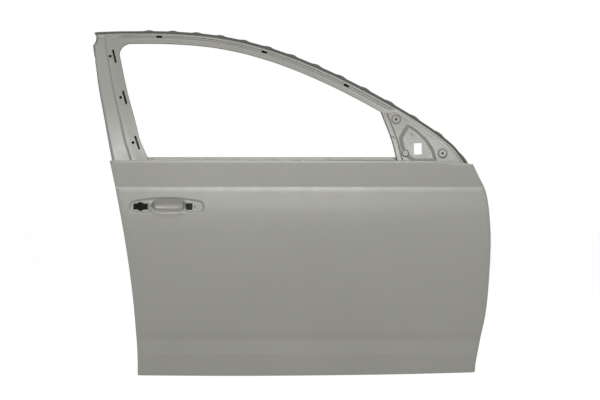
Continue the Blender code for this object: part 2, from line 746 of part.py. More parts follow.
def front_wall_cuts(bm, harness=True):
    """Holes through the front wall: hinge bolts, the door check and the wiring."""
    deep = CUT_REACH
    for z in hinge_bolt_heights():
        along_x(bm, (0.0, z), HINGE_BOLT_HOLE, -deep, deep)
    for side in (-1, 1):
        along_x(bm, (0.0, CHECK_HEIGHT + side * CHECK_BOLTS / 2), CHECK_BOLT_HOLE, -deep, deep)
    block(bm, (-deep, -CHECK_SLOT_WIDTH / 2, CHECK_HEIGHT - CHECK_SLOT_HEIGHT / 2),
          (deep, CHECK_SLOT_WIDTH / 2, CHECK_HEIGHT + CHECK_SLOT_HEIGHT / 2))
    if harness:
        along_x(bm, (0.0, HARNESS_HEIGHT), HARNESS_HOLE, -deep, deep, 16)


def latch_cuts(bm):
    """The latch's opening through the rear wall."""
    x = rear_wall(LATCH_HEIGHT)
    block(bm, (x - CUT_REACH, -LATCH_OUT, LATCH_HEIGHT - LATCH_OPENING / 2),
          (x + CUT_REACH, LATCH_IN, LATCH_HEIGHT + LATCH_OPENING / 2))


def inner_cuts():
    bm = bmesh.new()
    front_wall_cuts(bm)
    latch_cuts(bm)
    for x in DRAIN_PLACES:
        z = bottom_wall(x)
        block(bm, (x - DRAIN_LENGTH / 2, -DRAIN_WIDTH / 2, z - CUT_REACH / 2),
              (x + DRAIN_LENGTH / 2, DRAIN_WIDTH / 2, z + CUT_REACH / 2))
    return bm


def roof_line(x):
    return smooth(ROOF_LINE, x)


def roof_normal(x):
    """Upward unit normal of the header's upper edge."""
    slope = (roof_line(x + TINY * 100) - roof_line(x - TINY * 100)) / (TINY * 200)
    size = math.hypot(slope, 1)
    return -slope / size, 1 / size


def frame_outer_x(z):
    """Where the header's upper edge passes a height on its way down to the belt."""
    low, high = -0.9, HEADER_FRONT + 0.01
    for _ in range(40):
        middle = (low + high) / 2
        if roof_line(middle) > z:
            low = middle
        else:
            high = middle
    return low


def scallop(x):
    """Bulge of the header's upper flange at one place along it."""
    phase = ((x - SCALLOP_FIRST) / SCALLOP_PITCH + 0.5) % 1 - 0.5
    return SCALLOP_HEIGHT * max(0.0, 1 - abs(phase) * 4.5)


def frame_stations():
    """Cross-lines of the window frame as (window edge, outer edge, share of header), foot to front."""
    stations = []
    corner_z = window_corner_height()
    for z in pillar_heights():
        stations.append(((pillar_window_edge(z), z), (pillar_outer_edge(z), z), 0.0))
    centre = (pillar_window_edge(corner_z) + WINDOW_CORNER, corner_z)
    left_top = (ROOF_LINE[0][0], ROOF_LINE[0][1])
    outer_top = PILLAR_OUTER[-1]
    outer = ((outer_top[1], outer_top[0]), left_top, *((left_top[0] + past, None) for past in CORNER_STEPS))
    for k, (x, z) in enumerate(outer):
        angle = math.radians(180 - 20 * (k + 0.6))
        window = (centre[0] + WINDOW_CORNER * math.cos(angle), centre[1] + WINDOW_CORNER * math.sin(angle))
        stations.append((window, (x, roof_line(x) if z is None else z), (k + 1) / (len(outer) + 1)))
    start = SCALLOP_FIRST - SCALLOP_PITCH / 3
    count = math.ceil((HEADER_FRONT - start) / (SCALLOP_PITCH / 3))
    for k in range(count + 1):
        x = min(start + k * SCALLOP_PITCH / 3, HEADER_FRONT)
        z = roof_line(x)
        across, up = roof_normal(x)
        bulge = scallop(x)
        past = past_window(x)
        width = strip_width(x)
        window = (x - across * width, z - up * width)
        stations.append((window, (x + across * bulge, z + up * bulge), 1.0 + past))
    return stations


def past_window(x):
    """0 beside the window, 1 beside the mirror plate, and between where the header strip narrows."""
    return min(max((x - SAIL_WINDOW[-1][1] - NARROWING_START) / NARROWING_LENGTH, 0.0), 1.0)


def strip_width(x):
    return lerp(HEADER_WIDTH, SAIL_STRIP_WIDTH, past_window(x))


def window_corner_height():
    """Height where the window's rear edge turns into its upper corner."""
    return roof_line(PILLAR_WINDOW[-1][1] + WINDOW_CORNER) - HEADER_WIDTH - WINDOW_CORNER


def pillar_heights():
    """Heights of the pillar's cross-lines, shared by the frame's strips and the glass channel."""
    below = spaced(FRAME_FOOT, WALL_TOP + FRAME_TUCK_GAP, EDGE_STEP)
    above = spaced(SILL_HEIGHT, window_corner_height(), EDGE_STEP)
    return below + [FRAME_TUCK] + above


def edge_above_belt(points, z):
    """A window edge that runs on straight below the belt, as the glass does."""
    low, high = points[0], points[-1]
    if z >= low[0]:
        return smooth(points, z)
    return low[1] + (high[1] - low[1]) / (high[0] - low[0]) * (z - low[0])


def pillar_window_edge(z):
    return edge_above_belt(PILLAR_WINDOW, z)


def sail_window_edge(z):
    return edge_above_belt(SAIL_WINDOW, z)


def pillar_outer_edge(z):
    """The pillar's outer edge, which is tucked inside the rear wall below the belt."""
    if z >= FRAME_TUCK:
        return smooth(PILLAR_OUTER, z)
    return rear_wall(min(z, WALL_TOP)) + INNER_SHEET + FRAME_TUCK_GAP


# Outer strip's section as (share of width from the window, distance inboard of the frame's face)
HEADER_SECTION = ((0.0, 0.0), (0.35, -0.0006), (0.385, -0.0028), (0.42, -0.0028), (0.455, 0.0020),
                  (0.575, 0.0020), (0.62, -0.0040), (0.74, -0.0048), (0.79, -0.0020), (0.90, 0.0080),
                  (1.0, 0.0100))
PILLAR_SECTION = ((0.0, 0.0), (0.20, 0.0), (0.24, 0.0012), (0.32, 0.0012), (0.40, 0.0012), (0.45, 0.0005),
                  (0.49, -0.0045), (0.60, -0.0050), (0.80, -0.0040), (0.965, 0.0), (1.0, 0.0100))
SAIL_SECTION = ((0.0, 0.0), (0.12, 0.0), (0.24, 0.0), (0.30, -0.0020), (0.36, -0.0040), (0.45, -0.0045),
                (0.55, -0.0048), (0.62, -0.0035), (0.68, -0.0020), (0.84, 0.0080), (1.0, 0.0100))
# Inner strip's section: beside the glass slot, out to the frame's depth, and back to the outer strip's flange
INNER_HEADER_SECTION = ((0.0, GLASS_SLOT), (0.30, GLASS_SLOT), (0.42, FRAME_DEPTH), (0.78, FRAME_DEPTH),
                        (0.92, 0.0100 + FRAME_SHEET + FIT), (1.0, 0.0100 + FRAME_SHEET + FIT))
INNER_SAIL_SECTION = ((0.0, 0.0260), (0.12, 0.0260), (0.26, FRAME_DEPTH), (0.66, FRAME_DEPTH),
                      (0.86, 0.0100 + FRAME_SHEET + FIT), (1.0, 0.0100 + FRAME_SHEET + FIT))
INNER_PILLAR_SECTION = ((0.0, GLASS_SLOT), (0.14, GLASS_SLOT), (0.22, FRAME_DEPTH), (0.84, FRAME_DEPTH),
                        (0.94, 0.0100 + FRAME_SHEET + FIT), (1.0, 0.0100 + FRAME_SHEET + FIT))


def frame_strip(stations, *sections):
    """Sheet swept round the window: its section turns from the pillar's into the header's and the sail's."""
    def place(i, j):
        window, outer, mix = stations[j]
        first = min(int(mix), len(sections) - 2)
        start, stop = sections[first][i], sections[first + 1][i]
        share = lerp(start[0], stop[0], mix - first)
        depth = lerp(start[1], stop[1], mix - first)
        x = lerp(window[0], outer[0], share)
        z = lerp(window[1], outer[1], share)
        return (x, frame_face(z) + depth, z)
    return swept_sheet(len(sections[0]) - 1, len(stations) - 1, place)


def make_window_frame(door):
    stations = frame_stations()
    strip = frame_strip(stations, PILLAR_SECTION, HEADER_SECTION, SAIL_SECTION)
    outer = door.sheet(strip, "window_frame_outer", FRAME_SHEET)
    cuts = bmesh.new()
    for x, z, lean in PILLAR_SLOTS:
        slot = slot_outline((x, z), PILLAR_SLOT_LENGTH, SLOT_WIDTH, 90 + lean)
        for outline in (slot, ring((x - PILLAR_HOLE_OFFSET, z), PILLAR_HOLE, 10)):
            prism(cuts, outline, frame_face(z) - CUT_REACH, frame_face(z) + FRAME_CUT)
    for x in HEADER_SLOTS:
        across, up = roof_normal(x)
        z = roof_line(x)
        centre = (x - across * HEADER_SLOT_INSET, z - up * HEADER_SLOT_INSET)
        lean = math.degrees(math.atan2(-across, up))
        prism(cuts, slot_outline(centre, HEADER_SLOT_LENGTH, SLOT_WIDTH, lean),
              frame_face(centre[1]) - CUT_REACH, frame_face(centre[1]) + FRAME_CUT)
    door.cut(outer, cuts)
    inner = frame_strip(stations, INNER_PILLAR_SECTION, INNER_HEADER_SECTION, INNER_SAIL_SECTION)
    door.sheet(inner, "window_frame_inner", FRAME_SHEET)


def make_glass_channels(door):
    """Two rolled U channels that hold the glass, from the frame down into the door."""
    near = FRAME_SHEET + FIT
    far = GLASS_SLOT - FIT
    section = ((0.0, near), (GUIDE_DEPTH, near), (GUIDE_DEPTH, far), (0.0, far))
    lower = spaced(GUIDE_FOOT, FRAME_FOOT, GUIDE_STEP)[:-1]
    sail_heights = spaced(FRAME_FOOT, SAIL_WINDOW[-1][0], SAIL_GUIDE_STEP)
    guides = (("glass_channel_rear", pillar_window_edge, -1, lower + pillar_heights()),
              ("glass_channel_front", sail_window_edge, 1, lower + sail_heights))
    for name, edge, side, heights in guides:
        def place(i, j):
            z = heights[j]
            back, depth = section[i]
            return (edge(z) + side * (back + GUIDE_SETBACK), frame_face(z) + depth, z)

        bm = swept_sheet(len(section) - 1, len(heights) - 1, place)
        door.sheet(bm, name, CHANNEL_SHEET, (0, -1, 0))


def boss_plane(centre, z):
    """The flat of a mirror boss, tangent to the frame's face at its centre."""
    return frame_face(centre[1]) + frame_slope(centre[1]) * (z - centre[1]) - BOSS_HEIGHT


def mirror_face(x, z):
    """Outboard surface of the mirror plate, with three bosses and the pocket."""
    depth = frame_face(z)
    pocket = pocket_share(x, z)
    depth += POCKET_DEPTH * pocket
    for centre in MIRROR_BOSSES:
        away = math.hypot(x - centre[0], z - centre[1])
        share = min(max((BOSS_RIM - away) / (BOSS_RIM - BOSS_PAD), 0.0), 1.0)
        depth = lerp(depth, boss_plane(centre, z), share)
    return depth + FRAME_SHEET + FIT


def pocket_share(x, z):
    """1 on the pocket's floor, 0 outside it, and between on its wall."""
    if not inside((x, z), MIRROR_POCKET):
        return 0.0
    nearest = 1.0
    for k, start in enumerate(MIRROR_POCKET):
        a, b = Vector(start), Vector(MIRROR_POCKET[k - 1])
        share = min(max((Vector((x, z)) - a).dot(b - a) / (b - a).length_squared, 0.0), 1.0)
        nearest = min(nearest, (Vector((x, z)) - a.lerp(b, share)).length)
    return min(nearest / POCKET_WALL, 1.0)


def inset_loop(outline, distance):
    """A closed clockwise or counter-clockwise outline drawn in by a distance along each of its sides."""
    middle = sum((Vector(point) for point in outline), Vector((0, 0))) / len(outline)
    moved = []
    for k, point in enumerate(outline):
        here = Vector(point)
        before = (here - Vector(outline[k - 1])).normalized()
        after = (Vector(outline[(k + 1) % len(outline)]) - here).normalized()
        normals = [Vector((-side.y, side.x)) for side in (before, after)]
        if normals[0].dot(middle - here) + normals[1].dot(middle - here) < 0:
            normals = [-normal for normal in normals]
        between = (normals[0] + normals[1]).normalized()
        moved.append(tuple(here + between * (distance / between.dot(normals[0]))))
    return moved


def mirror_outline():
    """Triangle between the front glass channel, the header strip and the foot behind the skin."""
    rear = GUIDE_DEPTH + GUIDE_SETBACK + SAIL_GAP
    outline = [(sail_window_edge(z) + rear, z) for z in spaced(MIRROR_TOP, MIRROR_FOOT, EDGE_STEP)]
    edge = []
    front = HEADER_FRONT - MIRROR_FRONT_SETBACK
    for x in spaced(front, SAIL_WINDOW[-1][1] + MIRROR_TOP_SETBACK, EDGE_STEP / 2):
        across, up = roof_normal(x)
        inset = strip_width(x) - SAIL_LAP
        edge.append((x - across * inset, roof_line(x) - up * inset))
    foot = edge[0][0] - MIRROR_FRONT_SETBACK
    outline += [(x, MIRROR_FOOT) for x in spaced(outline[-1][0], foot, EDGE_STEP)[1:]]
    return outline + edge


def make_mirror_reinforcement(door):
    rings = [list(MIRROR_POCKET), inset_loop(MIRROR_POCKET, POCKET_WALL)]
    for centre in MIRROR_BOSSES:
        rings += [ring(centre, BOSS_RIM, 14), ring(centre, BOSS_PAD, 14)]
    bm, _ = stamped_sheet(mirror_outline(), mirror_face, rings, [], [])
    plate = door.sheet(bm, "mirror_reinforcement", MIRROR_SHEET)
    cuts = bmesh.new()
    for centre in MIRROR_BOSSES:
        prism(cuts, ring(centre, BOSS_BORE, 10), *MIRROR_CUT)
    x, z = MIRROR_WINDOW
    half_x, half_z = MIRROR_WINDOW_WIDTH / 2, MIRROR_WINDOW_HEIGHT / 2
    prism(cuts, rounded_box((x - half_x, x + half_x, z - half_z, z + half_z), 0.002, arc=2), *MIRROR_CUT)
    door.cut(plate, cuts)


def make_belt_reinforcements(door):
    """Two hats under the belt: one on the skin's back, one on the inner panel."""
    reach = SKIN_SHEET + FIT
    heights = (*BELT_HAT_HEIGHTS, None)
    depths = (0.0, 0.0, BELT_HAT_DEPTH, BELT_HAT_DEPTH, 0.0, 0.0)
    columns = 16

    def outer(i, j):
        share = i / columns
        z = heights[j]
        side = SKIN_FRONT_EDGE[-1][0] if z is None else z
        x = lerp(rear_wall(side) + reach, front_wall(side) - reach - BELT_END_GAP, share)
        if z is None:
            z = belt_edge(x) - reach - BELT_TOP_GAP
        return (x, behind_skin(x, z) + depths[j], z)

    door.sheet(swept_sheet(columns, len(heights) - 1, outer), "belt_reinforcement_outer", BELT_SHEET)
    seat = BELT_FACE - FIT - BELT_SHEET
    inner_heights = (*INNER_HAT_HEIGHTS, SILL_HEIGHT - BELT_TOP_GAP)
    inner_depths = (0.0, 0.0, INNER_HAT_DEPTH, INNER_HAT_DEPTH, 0.0, 0.0)

    def inner(i, j):
        x = lerp(*INNER_HAT_ENDS, i / 2)
        return (x, seat - inner_depths[j], inner_heights[j])

    door.sheet(swept_sheet(2, len(inner_heights) - 1, inner), "belt_reinforcement_inner", BELT_SHEET)


def angle_plate(door, name, wall_x, low, high, from_y, leg, thickness, side):
    """L-shaped plate on the inside of a wall, bent onto the inner panel's face. side is +1 at the front."""
    seat_y = inner_seat()
    profile = ((0.0, from_y), (0.0, seat_y), (-side * leg, seat_y))
    heights = (low, high)

    def place(i, j):
        z = heights[j]
        return (wall_x(z) - side * (INNER_SHEET + FIT) + profile[i][0], profile[i][1], z)

    bm = swept_sheet(2, 1, place)
    return door.sheet(bm, name, thickness, (side, 0, 0))


def inner_seat():
    return INNER_FACE - FIT


def make_wall_plates(door):
    """Plates behind the hinges, the door check and the latch."""
    for name, hinge in (("hinge_reinforcement_upper", 0.0), ("hinge_reinforcement_lower", -HINGE_SPACING)):
        half = HINGE_PLATE / 2
        plate = angle_plate(door, name, front_wall, hinge - half, hinge + half, -HINGE_PLATE_OUT, PLATE_LEG,
                            PLATE_SHEET, 1)
        cuts = bmesh.new()
        front_wall_cuts(cuts, False)
        door.cut(plate, cuts)
    half = CHECK_PLATE / 2
    seat = FRONT_WALL - INNER_SHEET - FIT
    side = CHECK_PLATE_WIDTH / 2
    check = swept_sheet(1, 1, lambda i, j: (seat, lerp(-side, side, i), CHECK_HEIGHT + lerp(-half, half, j)))
    plate = door.sheet(check, "check_reinforcement", PLATE_SHEET, (1, 0, 0))
    cuts = bmesh.new()
    front_wall_cuts(cuts, False)
    door.cut(plate, cuts)
    half = LATCH_PLATE / 2
    plate = angle_plate(door, "latch_reinforcement", rear_wall, LATCH_HEIGHT - half, LATCH_HEIGHT + half,
                        -LATCH_PLATE_OUT, LATCH_LEG, PLATE_SHEET, -1)
    cuts = bmesh.new()
    latch_cuts(cuts)
    door.cut(plate, cuts)


def beam_ends():
    """Centres of the impact beam's two ends."""
    rear_x = rear_wall(BEAM_REAR_HEIGHT) + BEAM_END_GAP
    front_x = front_wall(BEAM_FRONT_HEIGHT) - BEAM_END_GAP
    return Vector((rear_x, -BEAM_OUT, BEAM_REAR_HEIGHT)), Vector((front_x, -BEAM_OUT, BEAM_FRONT_HEIGHT))


def make_impact_beam(door):
    """A tube from the lower rear to the upper front, its two brackets and the pads that steady the skin."""
    rear, front = beam_ends()
    axis = front - rear
    bm = bmesh.new()
    turn = axis.to_track_quat("Z", "Y").to_matrix().to_4x4()
    bmesh.ops.create_cone(bm, cap_ends=False, segments=16, radius1=BEAM_RADIUS, radius2=BEAM_RADIUS,
                          depth=axis.length, matrix=Matrix.Translation((rear + front) / 2) @ turn)
    outward = bm_first_outward(bm, rear, axis)
    tube = door.add(bm, "impact_beam", None, outward)
    thicken(tube, BEAM_WALL)
    web = -BEAM_OUT + BEAM_RADIUS + FIT
    for name, side, wall_x, height in (("beam_bracket_front", 1, front_wall, BEAM_FRONT_HEIGHT),
                                       ("beam_bracket_rear", -1, rear_wall, BEAM_REAR_HEIGHT)):
        profile = ((-side * BRACKET_LENGTH, web), (0.0, web), (0.0, web + BRACKET_FLANGE))
        heights = (height - BRACKET_HEIGHT / 2, height + BRACKET_HEIGHT / 2)

        def place(i, j):
            z = heights[j]
            wall = wall_x(heights[0]) if side > 0 else lerp(wall_x(heights[0]), wall_x(heights[1]), j)
            if side > 0:
                wall = min(wall_x(heights[0]), wall_x(heights[1]))
            return (wall - side * (INNER_SHEET + FIT) + profile[i][0], profile[i][1], z)

        door.sheet(swept_sheet(2, 1, place), name, BRACKET_SHEET)
    for k, share in enumerate(PAD_PLACES):
        centre = rear.lerp(front, share)
        back = -BEAM_OUT - BEAM_RADIUS - FIT
        half_x, half_z = PAD_LENGTH / 2, PAD_HEIGHT / 2

        def place(i, j):
            x = centre.x + lerp(-half_x, half_x, i / 2)
            z = centre.z + lerp(-half_z, half_z, j / 2)
            return (x, behind_skin(x, z) + PAD_CLEARANCE - FIT, z)

        bm = swept_sheet(2, 2, place)
        drawn = bmesh.ops.extrude_face_region(bm, geom=list(bm.faces))["geom"]
        for item in drawn:
            if isinstance(item, bmesh.types.BMVert):
                item.co.y = back
        door.add(bm, f"mastic_pad_{k + 1}", door.mastic)


def bm_first_outward(bm, start, axis):
    """Direction from the axis to the first face's middle."""
    bm.faces.ensure_lookup_table()
    middle = bm.faces[0].calc_center_median() - start
    return middle - axis * (middle.dot(axis) / axis.length_squared)


def make_handle_bracket(door):
    """Hat-shaped carrier behind the recess: feet beside the holes, bridged behind the finger scoop."""
    reach = HANDLE_HALF * (1 - HANDLE_SLOPE) - HANDLE_BRACKET_MARGIN
    left, right = HANDLE_X - reach, HANDLE_X + reach
    scoop_left, scoop_right = SCOOP_X - SCOOP_HALF, SCOOP_X + SCOOP_HALF
    gap = HANDLE_BRACKET_STANDOFF
    deep = SCOOP_DEPTH + HANDLE_BRACKET_STANDOFF
    section = ((left, 0.0), (scoop_left - 2 * gap, 0.0), (scoop_left - gap, deep), (scoop_right + gap, deep),
               (scoop_right + 2 * gap, 0.0), (right, 0.0))
    half = HANDLE_BRACKET_HEIGHT / 2

    def place(i, j):
        x, depth = section[i]
        z = LOCK_Z + lerp(-half, half, j / 2)
        return (x, behind_skin(x, z) + HANDLE_DEPTH + depth, z)

    bracket = door.sheet(swept_sheet(len(section) - 1, 2, place), "handle_bracket", BRACKET_SHEET)
    cuts = bmesh.new()
    for outline in (lock_outline(), square_outline(), ring((PIN_X, SQUARE_Z), PIN_HOLE, 8)):
        prism(cuts, outline, *HANDLE_CUT)
    door.cut(bracket, cuts)


def make_nut(door, name, size, matrix):
    """Hexagon nut whose seat lies in the matrix's XY plane, with its body along +Z."""
    flats, thickness, bore = size
    bm = bmesh.new()
    lifted = Matrix.Translation((0, 0, thickness / 2))
    bmesh.ops.create_cone(bm, cap_ends=True, segments=6, radius1=flats / math.sqrt(3),
                          radius2=flats / math.sqrt(3), depth=thickness, matrix=matrix @ lifted)
    nut = door.add(bm, name, door.steel)
    cuts = bmesh.new()
    bmesh.ops.create_cone(cuts, cap_ends=True, segments=12, radius1=bore, radius2=bore, depth=thickness * 3,
                          matrix=matrix @ lifted)
    door.cut(nut, cuts)


def make_nuts(door):
    """Weld nuts on the hinge plates, the check plate and the mirror bosses."""
    seat = FRONT_WALL - INNER_SHEET - 2 * FIT - PLATE_SHEET
    inwards = Matrix.Rotation(-math.pi / 2, 4, "Y")
    for k, z in enumerate(hinge_bolt_heights()):
        make_nut(door, f"hinge_nut_{k + 1}", HINGE_NUT, Matrix.Translation((seat, 0.0, z)) @ inwards)
    for k, side in enumerate((-1, 1)):
        z = CHECK_HEIGHT + side * CHECK_BOLTS / 2
        make_nut(door, f"check_nut_{k + 1}", SMALL_NUT, Matrix.Translation((seat, 0.0, z)) @ inwards)
    for k, (x, z) in enumerate(MIRROR_BOSSES):
        slope = frame_slope(z)
        inboard = Vector((0, 1, -slope)).normalized()
        outer = Vector((x, boss_plane((x, z), z) + FRAME_SHEET + FIT, z))
        place = outer + inboard * (MIRROR_SHEET + FIT)
        turn = inboard.to_track_quat("Z", "Y").to_matrix().to_4x4()
        make_nut(door, f"mirror_nut_{k + 1}", SMALL_NUT, Matrix.Translation(place) @ turn)


def main():
    for item in list(bpy.data.objects):
        bpy.data.objects.remove(item)
    door = Door()
    make_outer_panel(door)
    make_inner_panel(door)
    make_window_frame(door)
    make_glass_channels(door)
    make_mirror_reinforcement(door)
    make_belt_reinforcements(door)
    make_wall_plates(door)
    make_impact_beam(door)
    make_handle_bracket(door)
    make_nuts(door)


main()
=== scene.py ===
"""Shows the bare shell of a right-hand front car door in satin grey primer, on a plain pale floor."""
import math

import bmesh
import bpy
from bpy.props import FloatProperty, FloatVectorProperty, IntProperty, PointerProperty
from mathutils import Matrix, Vector, kdtree
from mathutils.geometry import delaunay_2d_cdt


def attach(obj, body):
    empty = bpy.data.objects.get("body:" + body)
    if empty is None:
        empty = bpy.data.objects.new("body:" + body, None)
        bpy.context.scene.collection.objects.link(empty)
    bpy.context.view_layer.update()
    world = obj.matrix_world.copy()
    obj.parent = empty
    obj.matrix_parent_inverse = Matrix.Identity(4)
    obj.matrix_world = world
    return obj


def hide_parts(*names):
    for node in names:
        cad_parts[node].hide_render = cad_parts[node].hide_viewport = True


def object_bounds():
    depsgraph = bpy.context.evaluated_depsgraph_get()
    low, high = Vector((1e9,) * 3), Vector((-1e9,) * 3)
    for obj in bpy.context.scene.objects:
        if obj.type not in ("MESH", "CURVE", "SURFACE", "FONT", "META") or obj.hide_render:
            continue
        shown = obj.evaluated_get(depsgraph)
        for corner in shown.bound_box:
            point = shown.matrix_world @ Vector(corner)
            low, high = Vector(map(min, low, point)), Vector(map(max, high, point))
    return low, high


bl_info = {
    "name": "Door shell in primer",
    "version": (1, 0, 0),
    "blender": (4, 5, 0),
    "location": "3D View > Sidebar > Door shell",
    "description": "Dresses the packed door shell with fine pressings, primer and a plain stage",
    "category": "Object",
}

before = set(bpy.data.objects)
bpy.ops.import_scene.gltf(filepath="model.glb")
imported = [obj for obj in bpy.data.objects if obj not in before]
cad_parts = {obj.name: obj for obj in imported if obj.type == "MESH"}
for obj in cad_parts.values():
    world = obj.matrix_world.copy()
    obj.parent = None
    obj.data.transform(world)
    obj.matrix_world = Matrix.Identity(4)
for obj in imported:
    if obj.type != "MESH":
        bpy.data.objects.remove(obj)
CAD_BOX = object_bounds()

# Sheets and clearances of the pressings, in metres
SHEET = 0.0008
FRAME_SHEET = 0.0010
FIT = 0.0003
TINY = 1e-6

# Edges of the skin seen from the side: (height, place along the car), from bottom to top
SKIN_REAR_EDGE = ((-0.470, -1.029), (-0.411, -1.029), (-0.321, -1.035), (-0.195, -1.047),
                  (-0.051, -1.068), (0.093, -1.095), (0.177, -1.113))
SKIN_FRONT_EDGE = ((-0.462, -0.017), (-0.357, 0.003), (-0.285, 0.018), (-0.195, 0.027), (-0.070, 0.033),
                   (0.003, 0.030), (0.057, 0.024), (0.093, 0.015), (0.129, -0.003), (0.165, -0.020))
# (place along the car, height), from rear to front
SKIN_BOTTOM_EDGE = ((-1.029, -0.471), (-0.690, -0.472), (-0.282, -0.468), (-0.017, -0.462))
BELT_EDGE = ((-1.113, 0.1765), (-0.930, 0.177), (-0.420, 0.1755), (-0.120, 0.174), (-0.020, 0.166))

# The skin's bands from bottom to top, each as (height, distance outside the hinge line)
SKIN_BANDS = (((-0.475, 0.0495), (-0.408, 0.0540)),
              ((-0.408, 0.0540), (-0.357, 0.0532)),
              ((-0.357, 0.0532), (-0.351, 0.0550)),
              ((-0.351, 0.0550), (-0.230, 0.0610), (-0.080, 0.0640), (0.020, 0.0625), (0.096, 0.0565)),
              ((0.096, 0.0565), (0.180, 0.0559)))
# The two creases, counted from the bottom, that aren't rounded
SHARP_CREASES = (1, 2)
SKIN_BOW = 0.006
BOW_CENTRE = -0.540
BOW_REACH = 0.570
HEM_HEIGHT = 2 * SHEET + SHEET + 2 * FIT
HEM_RETURN = 0.009
BELT_RETURN = 0.012

# Window frame: the header's upper edge as (place along the car, height), then the pillar's and the sail's
# edges as (height, place along the car)
ROOF_LINE = ((-1.180, 0.576), (-1.090, 0.579), (-0.923, 0.5775), (-0.775, 0.562), (-0.626, 0.524),
             (-0.479, 0.466), (-0.333, 0.393), (-0.188, 0.307), (-0.079, 0.227), (-0.033, 0.169))
PILLAR_OUTER = ((0.187, -1.112), (0.300, -1.1346), (0.424, -1.1600), (0.535, -1.1783))
PILLAR_WINDOW = ((0.187, -1.0028), (0.209, -1.0125), (0.2387, -1.0256), (0.300, -1.0421), (0.3925, -1.0688),
                 (0.499, -1.0940))
SAIL_WINDOW = ((0.187, -0.2511), (0.2387, -0.2640), (0.3266, -0.2968))
SILL_HEIGHT = 0.1875
FRAME_DEPTH = 0.034
GLASS_SLOT = 0.018
# The frame's outer face: its distance inboard at the sill, and how it leans and curves inwards above
FRAME_OUT = -0.012
FRAME_LEAN = 0.14
FRAME_CURVE = 0.46


def smooth(points, place):
    """Value at one place of the smooth curve through (place, value) points, straight past its ends."""
    last = len(points) - 1
    slopes = []
    for k in range(len(points)):
        low, high = points[max(k - 1, 0)], points[min(k + 1, last)]
        slopes.append((high[1] - low[1]) / (high[0] - low[0]))
    if place <= points[0][0]:
        return points[0][1] + slopes[0] * (place - points[0][0])
    if place >= points[last][0]:
        return points[last][1] + slopes[last] * (place - points[last][0])
    k = next(i for i in range(last) if place <= points[i + 1][0])
    span = points[k + 1][0] - points[k][0]
    t = (place - points[k][0]) / span
    rise = points[k + 1][1] - points[k][1]
    bend_low = slopes[k] * span - rise
    bend_high = rise - slopes[k + 1] * span
    return points[k][1] + t * rise + t * (1 - t) * ((1 - t) * bend_low + t * bend_high)


def lerp(low, high, share):
    return low + (high - low) * share


def point_between(start, stop, share):
    return lerp(start[0], stop[0], share), lerp(start[1], stop[1], share)


def clamp(share):
    return min(max(share, 0.0), 1.0)


def ease(share):
    """A soft step from 0 to 1."""
    share = clamp(share)
    return share * share * (3 - 2 * share)


def spaced(start, stop, step):
    """Even places from start to stop, both kept, no further apart than step."""
    count = max(1, math.ceil(abs(stop - start) / step - TINY))
    return [lerp(start, stop, k / count) for k in range(count + 1)]


class DOORSHELL_PG_finish(bpy.types.PropertyGroup):
    """Colours and grain of the primer, the steel and the mastic."""
    primer: FloatVectorProperty(
        name="Primer", description="Base colour of the grey primer", subtype="COLOR", size=3,
        default=(0.284, 0.279, 0.252), min=0, max=1)
    primer_roughness: FloatProperty(
        name="Primer roughness", description="Roughness of the satin primer", default=0.37, min=0.05, max=1,
        subtype="FACTOR")
    peel_size: FloatProperty(
        name="Orange peel", description="Size of the primer's fine grain", default=0.0016, min=0.0004,
        max=0.02, unit="LENGTH")
    peel_depth: FloatProperty(
        name="Peel depth", description="Depth of the primer's fine grain", default=0.00003, min=0, max=0.001,
        unit="LENGTH")
    cloud_share: FloatProperty(
        name="Clouding", description="How much the primer's tone varies over a panel", default=0.05, min=0,
        max=0.5, subtype="FACTOR")
    zinc: FloatVectorProperty(
        name="Zinc", description="Base colour of the weld nuts", subtype="COLOR", size=3,
        default=(0.50, 0.50, 0.48), min=0, max=1)
    phosphate: FloatVectorProperty(
        name="Phosphate", description="Base colour of the nuts behind the mirror plate", subtype="COLOR",
        size=3, default=(0.05, 0.05, 0.052), min=0, max=1)
    mastic: FloatVectorProperty(
        name="Mastic", description="Base colour of the pads behind the skin", subtype="COLOR", size=3,
        default=(0.035, 0.035, 0.037), min=0, max=1)


class DOORSHELL_PG_skin(bpy.types.PropertyGroup):
    """Forms pressed into the outer skin."""
    crease_reach: FloatProperty(
        name="Crease reach", description="How far either side of a crease its rounding reaches",
        default=0.004, min=0.001, max=0.02, unit="LENGTH")
    crease_lip: FloatProperty(
        name="Crease lip", description="How far the skin stands out just below the upper crease",
        default=0.0007, min=0, max=0.003, unit="LENGTH")
    pad_depth: FloatProperty(
        name="Pad depth", description="Depth of the pads at both ends of the handle recess",
        default=0.0035, min=0.001, max=0.006, unit="LENGTH")
    pad_wall: FloatProperty(
        name="Pad wall", description="Width of the slope round the handle recess", default=0.0055, min=0.002,
        max=0.02, unit="LENGTH")
    scoop_depth: FloatProperty(
        name="Scoop depth", description="Depth of the finger scoop at its floor", default=0.01128,
        min=0.005, max=0.0195, unit="LENGTH")
    step: FloatProperty(
        name="Mesh step", description="Spacing of the skin's faces", default=0.011, min=0.006, max=0.03,
        unit="LENGTH")


class DOORSHELL_PG_frame(bpy.types.PropertyGroup):
    """Forms of the window frame's two pressed strips."""
    scallop_height: FloatProperty(
        name="Scallop", description="Height of the bumps along the upper flange", default=0.0030, min=0,
        max=0.0031, unit="LENGTH")
    slot_width: FloatProperty(
        name="Slot width", description="Width of the long slots", default=0.0062, min=0.003, max=0.009,
        unit="LENGTH")
    hole_radius: FloatProperty(
        name="Hole radius", description="Radius of the round holes beside the slots", default=0.0044,
        min=0.001, max=0.006, unit="LENGTH")
    # Painted shade: the upper flange gets a darker primer over this width, standing in for the shade it lies
    # in
    painted_shade_width: FloatProperty(
        name="Painted shade width", description="Width of the upper flange left in the darker first coat",
        default=0.0078, min=0, max=0.02, unit="LENGTH")
    corner_softness: FloatProperty(
        name="Corner softness", description="Share of each strip face taken by its bends", default=0.28,
        min=0.05, max=0.45, subtype="FACTOR")


